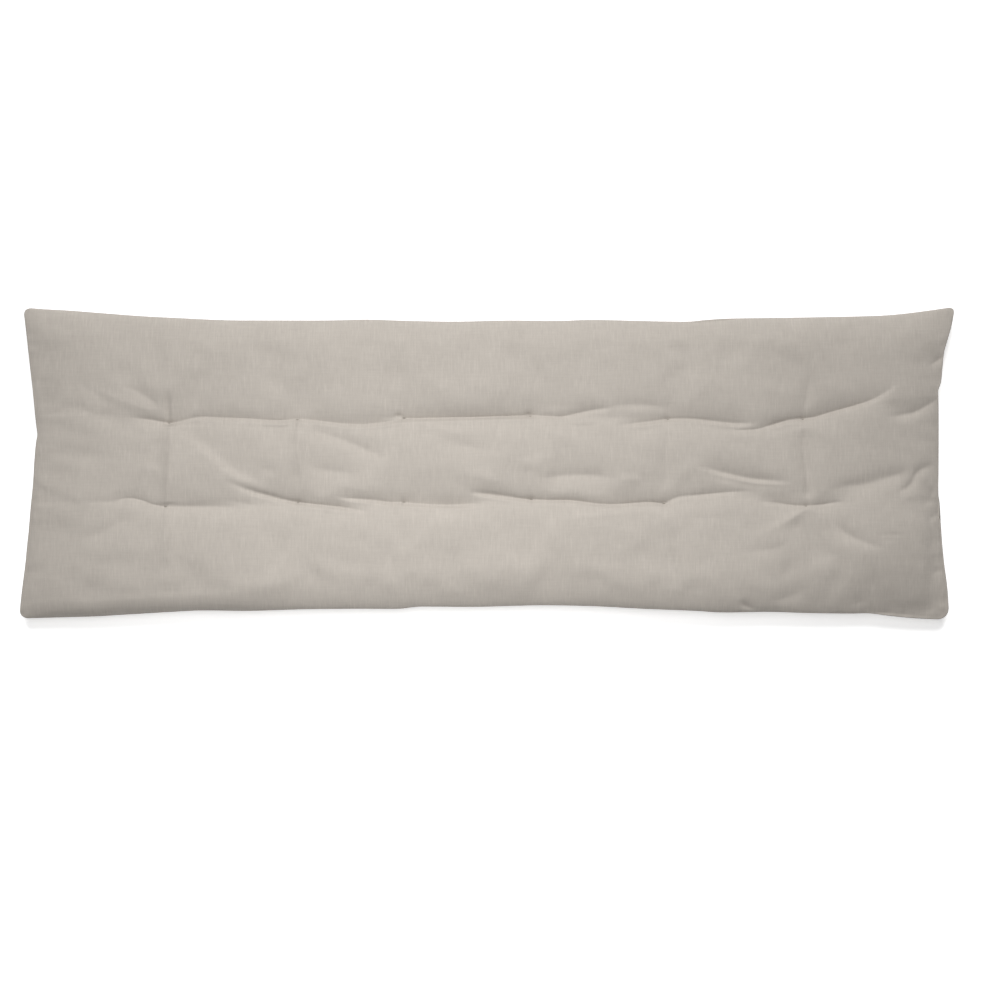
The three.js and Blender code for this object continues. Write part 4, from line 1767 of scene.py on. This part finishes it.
@dataclass(frozen=True)
class Studio:
    """The floor, the lights and the camera. All in metres.

    Attributes:
        floor_size: Width of the floor.
        floor_colour: Of the floor.
        floor_glow: Light that the pale floor gives of its own, which softens the shadows.
        frame_width: Width that the camera takes in at the seam's height.
        lens: Focal length in millimetres.
        sensor: Sensor width in millimetres.
        aim: The place under the camera, a little off the cushion's middle.
        ambient: Strength of the light all round.
        key: Strength of the key light.
        key_from: Direction towards the key light.
        key_spread: How broad the key light looks, in degrees.
        overhead: Power of the lamp overhead, in watts.
        overhead_place: Where it hangs.
        overhead_aim: The place that it faces.
        overhead_size: Its two sides.
    """

    floor_size: float = 60.0
    floor_colour: tuple[float, float, float] = (0.90, 0.90, 0.90)
    floor_glow: float = 0.42
    frame_width: float = 1.887
    lens: float = 85.0
    sensor: float = 36.0
    aim: tuple[float, float] = (0.0096, -0.0548)
    ambient: float = 0.205
    key: float = 2.66
    key_from: tuple[float, float, float] = (-0.03, 0.70, 0.71)
    key_spread: float = 24.0
    overhead: float = 8.25
    overhead_place: tuple[float, float, float] = (-0.09, -0.07, 1.13)
    overhead_aim: tuple[float, float, float] = (-0.15, 0, 0.05)
    overhead_size: tuple[float, float] = (0.8, 0.6)

    def lay_floor(self) -> None:
        """Lay the plain pale floor."""
        half = self.floor_size / 2
        mesh = bpy.data.meshes.new("floor")
        corners = [(-half, -half, 0), (half, -half, 0), (half, half, 0), (-half, half, 0)]
        mesh.from_pydata(corners, [], [(0, 1, 2, 3)])
        floor = place_object("floor", mesh)
        material, tree, shader = plain_material("pale floor")
        finish = {
            "Base Color": (*self.floor_colour, 1),
            "Roughness": 0.9,
            "Specular IOR Level": 0.1,
            "Emission Color": (1, 1, 1, 1),
            "Emission Strength": self.floor_glow,
        }
        feed(tree, shader, finish)
        mesh.materials.append(material)

    def light_room(self) -> None:
        """Set the light all round, which the camera sees as plain white."""
        world = bpy.data.worlds.new("pale room")
        world.use_nodes = True
        tree = world.node_tree
        seen = tree.nodes.new("ShaderNodeLightPath").outputs["Is Camera Ray"]
        strength = math_node(tree, "MULTIPLY_ADD", seen, 1 - self.ambient, self.ambient)
        feed(tree, tree.nodes["Background"], {"Color": (1, 1, 1, 1), "Strength": strength})
        bpy.context.scene.world = world

    def hang_lights(self) -> None:
        """Hang the broad distant key light on the top edge's side, and the soft lamp overhead."""
        data = bpy.data.lights.new("key", "SUN")
        data.energy = self.key
        data.angle = math.radians(self.key_spread)
        key = place_object("key", data)
        key.rotation_euler = (-Vector(self.key_from)).to_track_quat("-Z", "Y").to_euler()
        data = bpy.data.lights.new("overhead", "AREA")
        data.shape = "RECTANGLE"
        data.size, data.size_y = self.overhead_size
        data.energy = self.overhead
        lamp = place_object("overhead", data)
        lamp.location = self.overhead_place
        facing = Vector(self.overhead_aim) - Vector(self.overhead_place)
        lamp.rotation_euler = facing.to_track_quat("-Z", "Y").to_euler()
        lamp.visible_camera = False

    def set_camera(self, seam_height: float) -> None:
        """Hang the camera straight above, with the top of the photograph towards +Y.

        It hangs so high that the frame is as wide at the seam's height as the photograph's is: the frame's
        width times the lens over the sensor.

        Args:
            seam_height: Height of the seam in metres.
        """
        data = bpy.data.cameras.new("camera")
        data.lens = self.lens
        data.sensor_width = self.sensor
        camera = place_object("camera", data)
        distance = self.frame_width * self.lens / self.sensor
        camera.location = (*self.aim, seam_height + distance)
        data.clip_end = 100
        bpy.context.scene.camera = camera

    def set_view(self) -> None:
        """Show colours as they are lit, with no film curve."""
        bpy.context.scene.view_settings.view_transform = "Standard"
        bpy.context.scene.view_settings.look = "None"


def main() -> None:
    """Build the cushion and its studio, and log how many faces its pieces have."""
    logging.basicConfig(level=logging.INFO, format="%(name)s: %(message)s")
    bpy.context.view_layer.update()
    groups = ClothGroups()
    cover_maker = CushionCover()
    cover = cover_maker.build()
    cover_maker.dress(cover, CoverCloth().make(groups))
    LOG.info("filled cover: %d faces", len(cover.data.polygons))
    stitch_maker = TuftStitches(cover_maker)
    stitches = stitch_maker.build()
    stitch_maker.dress(stitches, TuftingThread().make(groups))
    LOG.info("tuft stitches: %d faces", len(stitches.data.polygons))
    studio = Studio()
    studio.lay_floor()
    studio.light_room()
    studio.hang_lights()
    studio.set_camera(cover_maker.seam.height * MM)
    studio.set_view()
    LOG.info("studio: floor, two lamps and camera")
    bpy.context.view_layer.update()


if __name__ == "__main__":
    main()
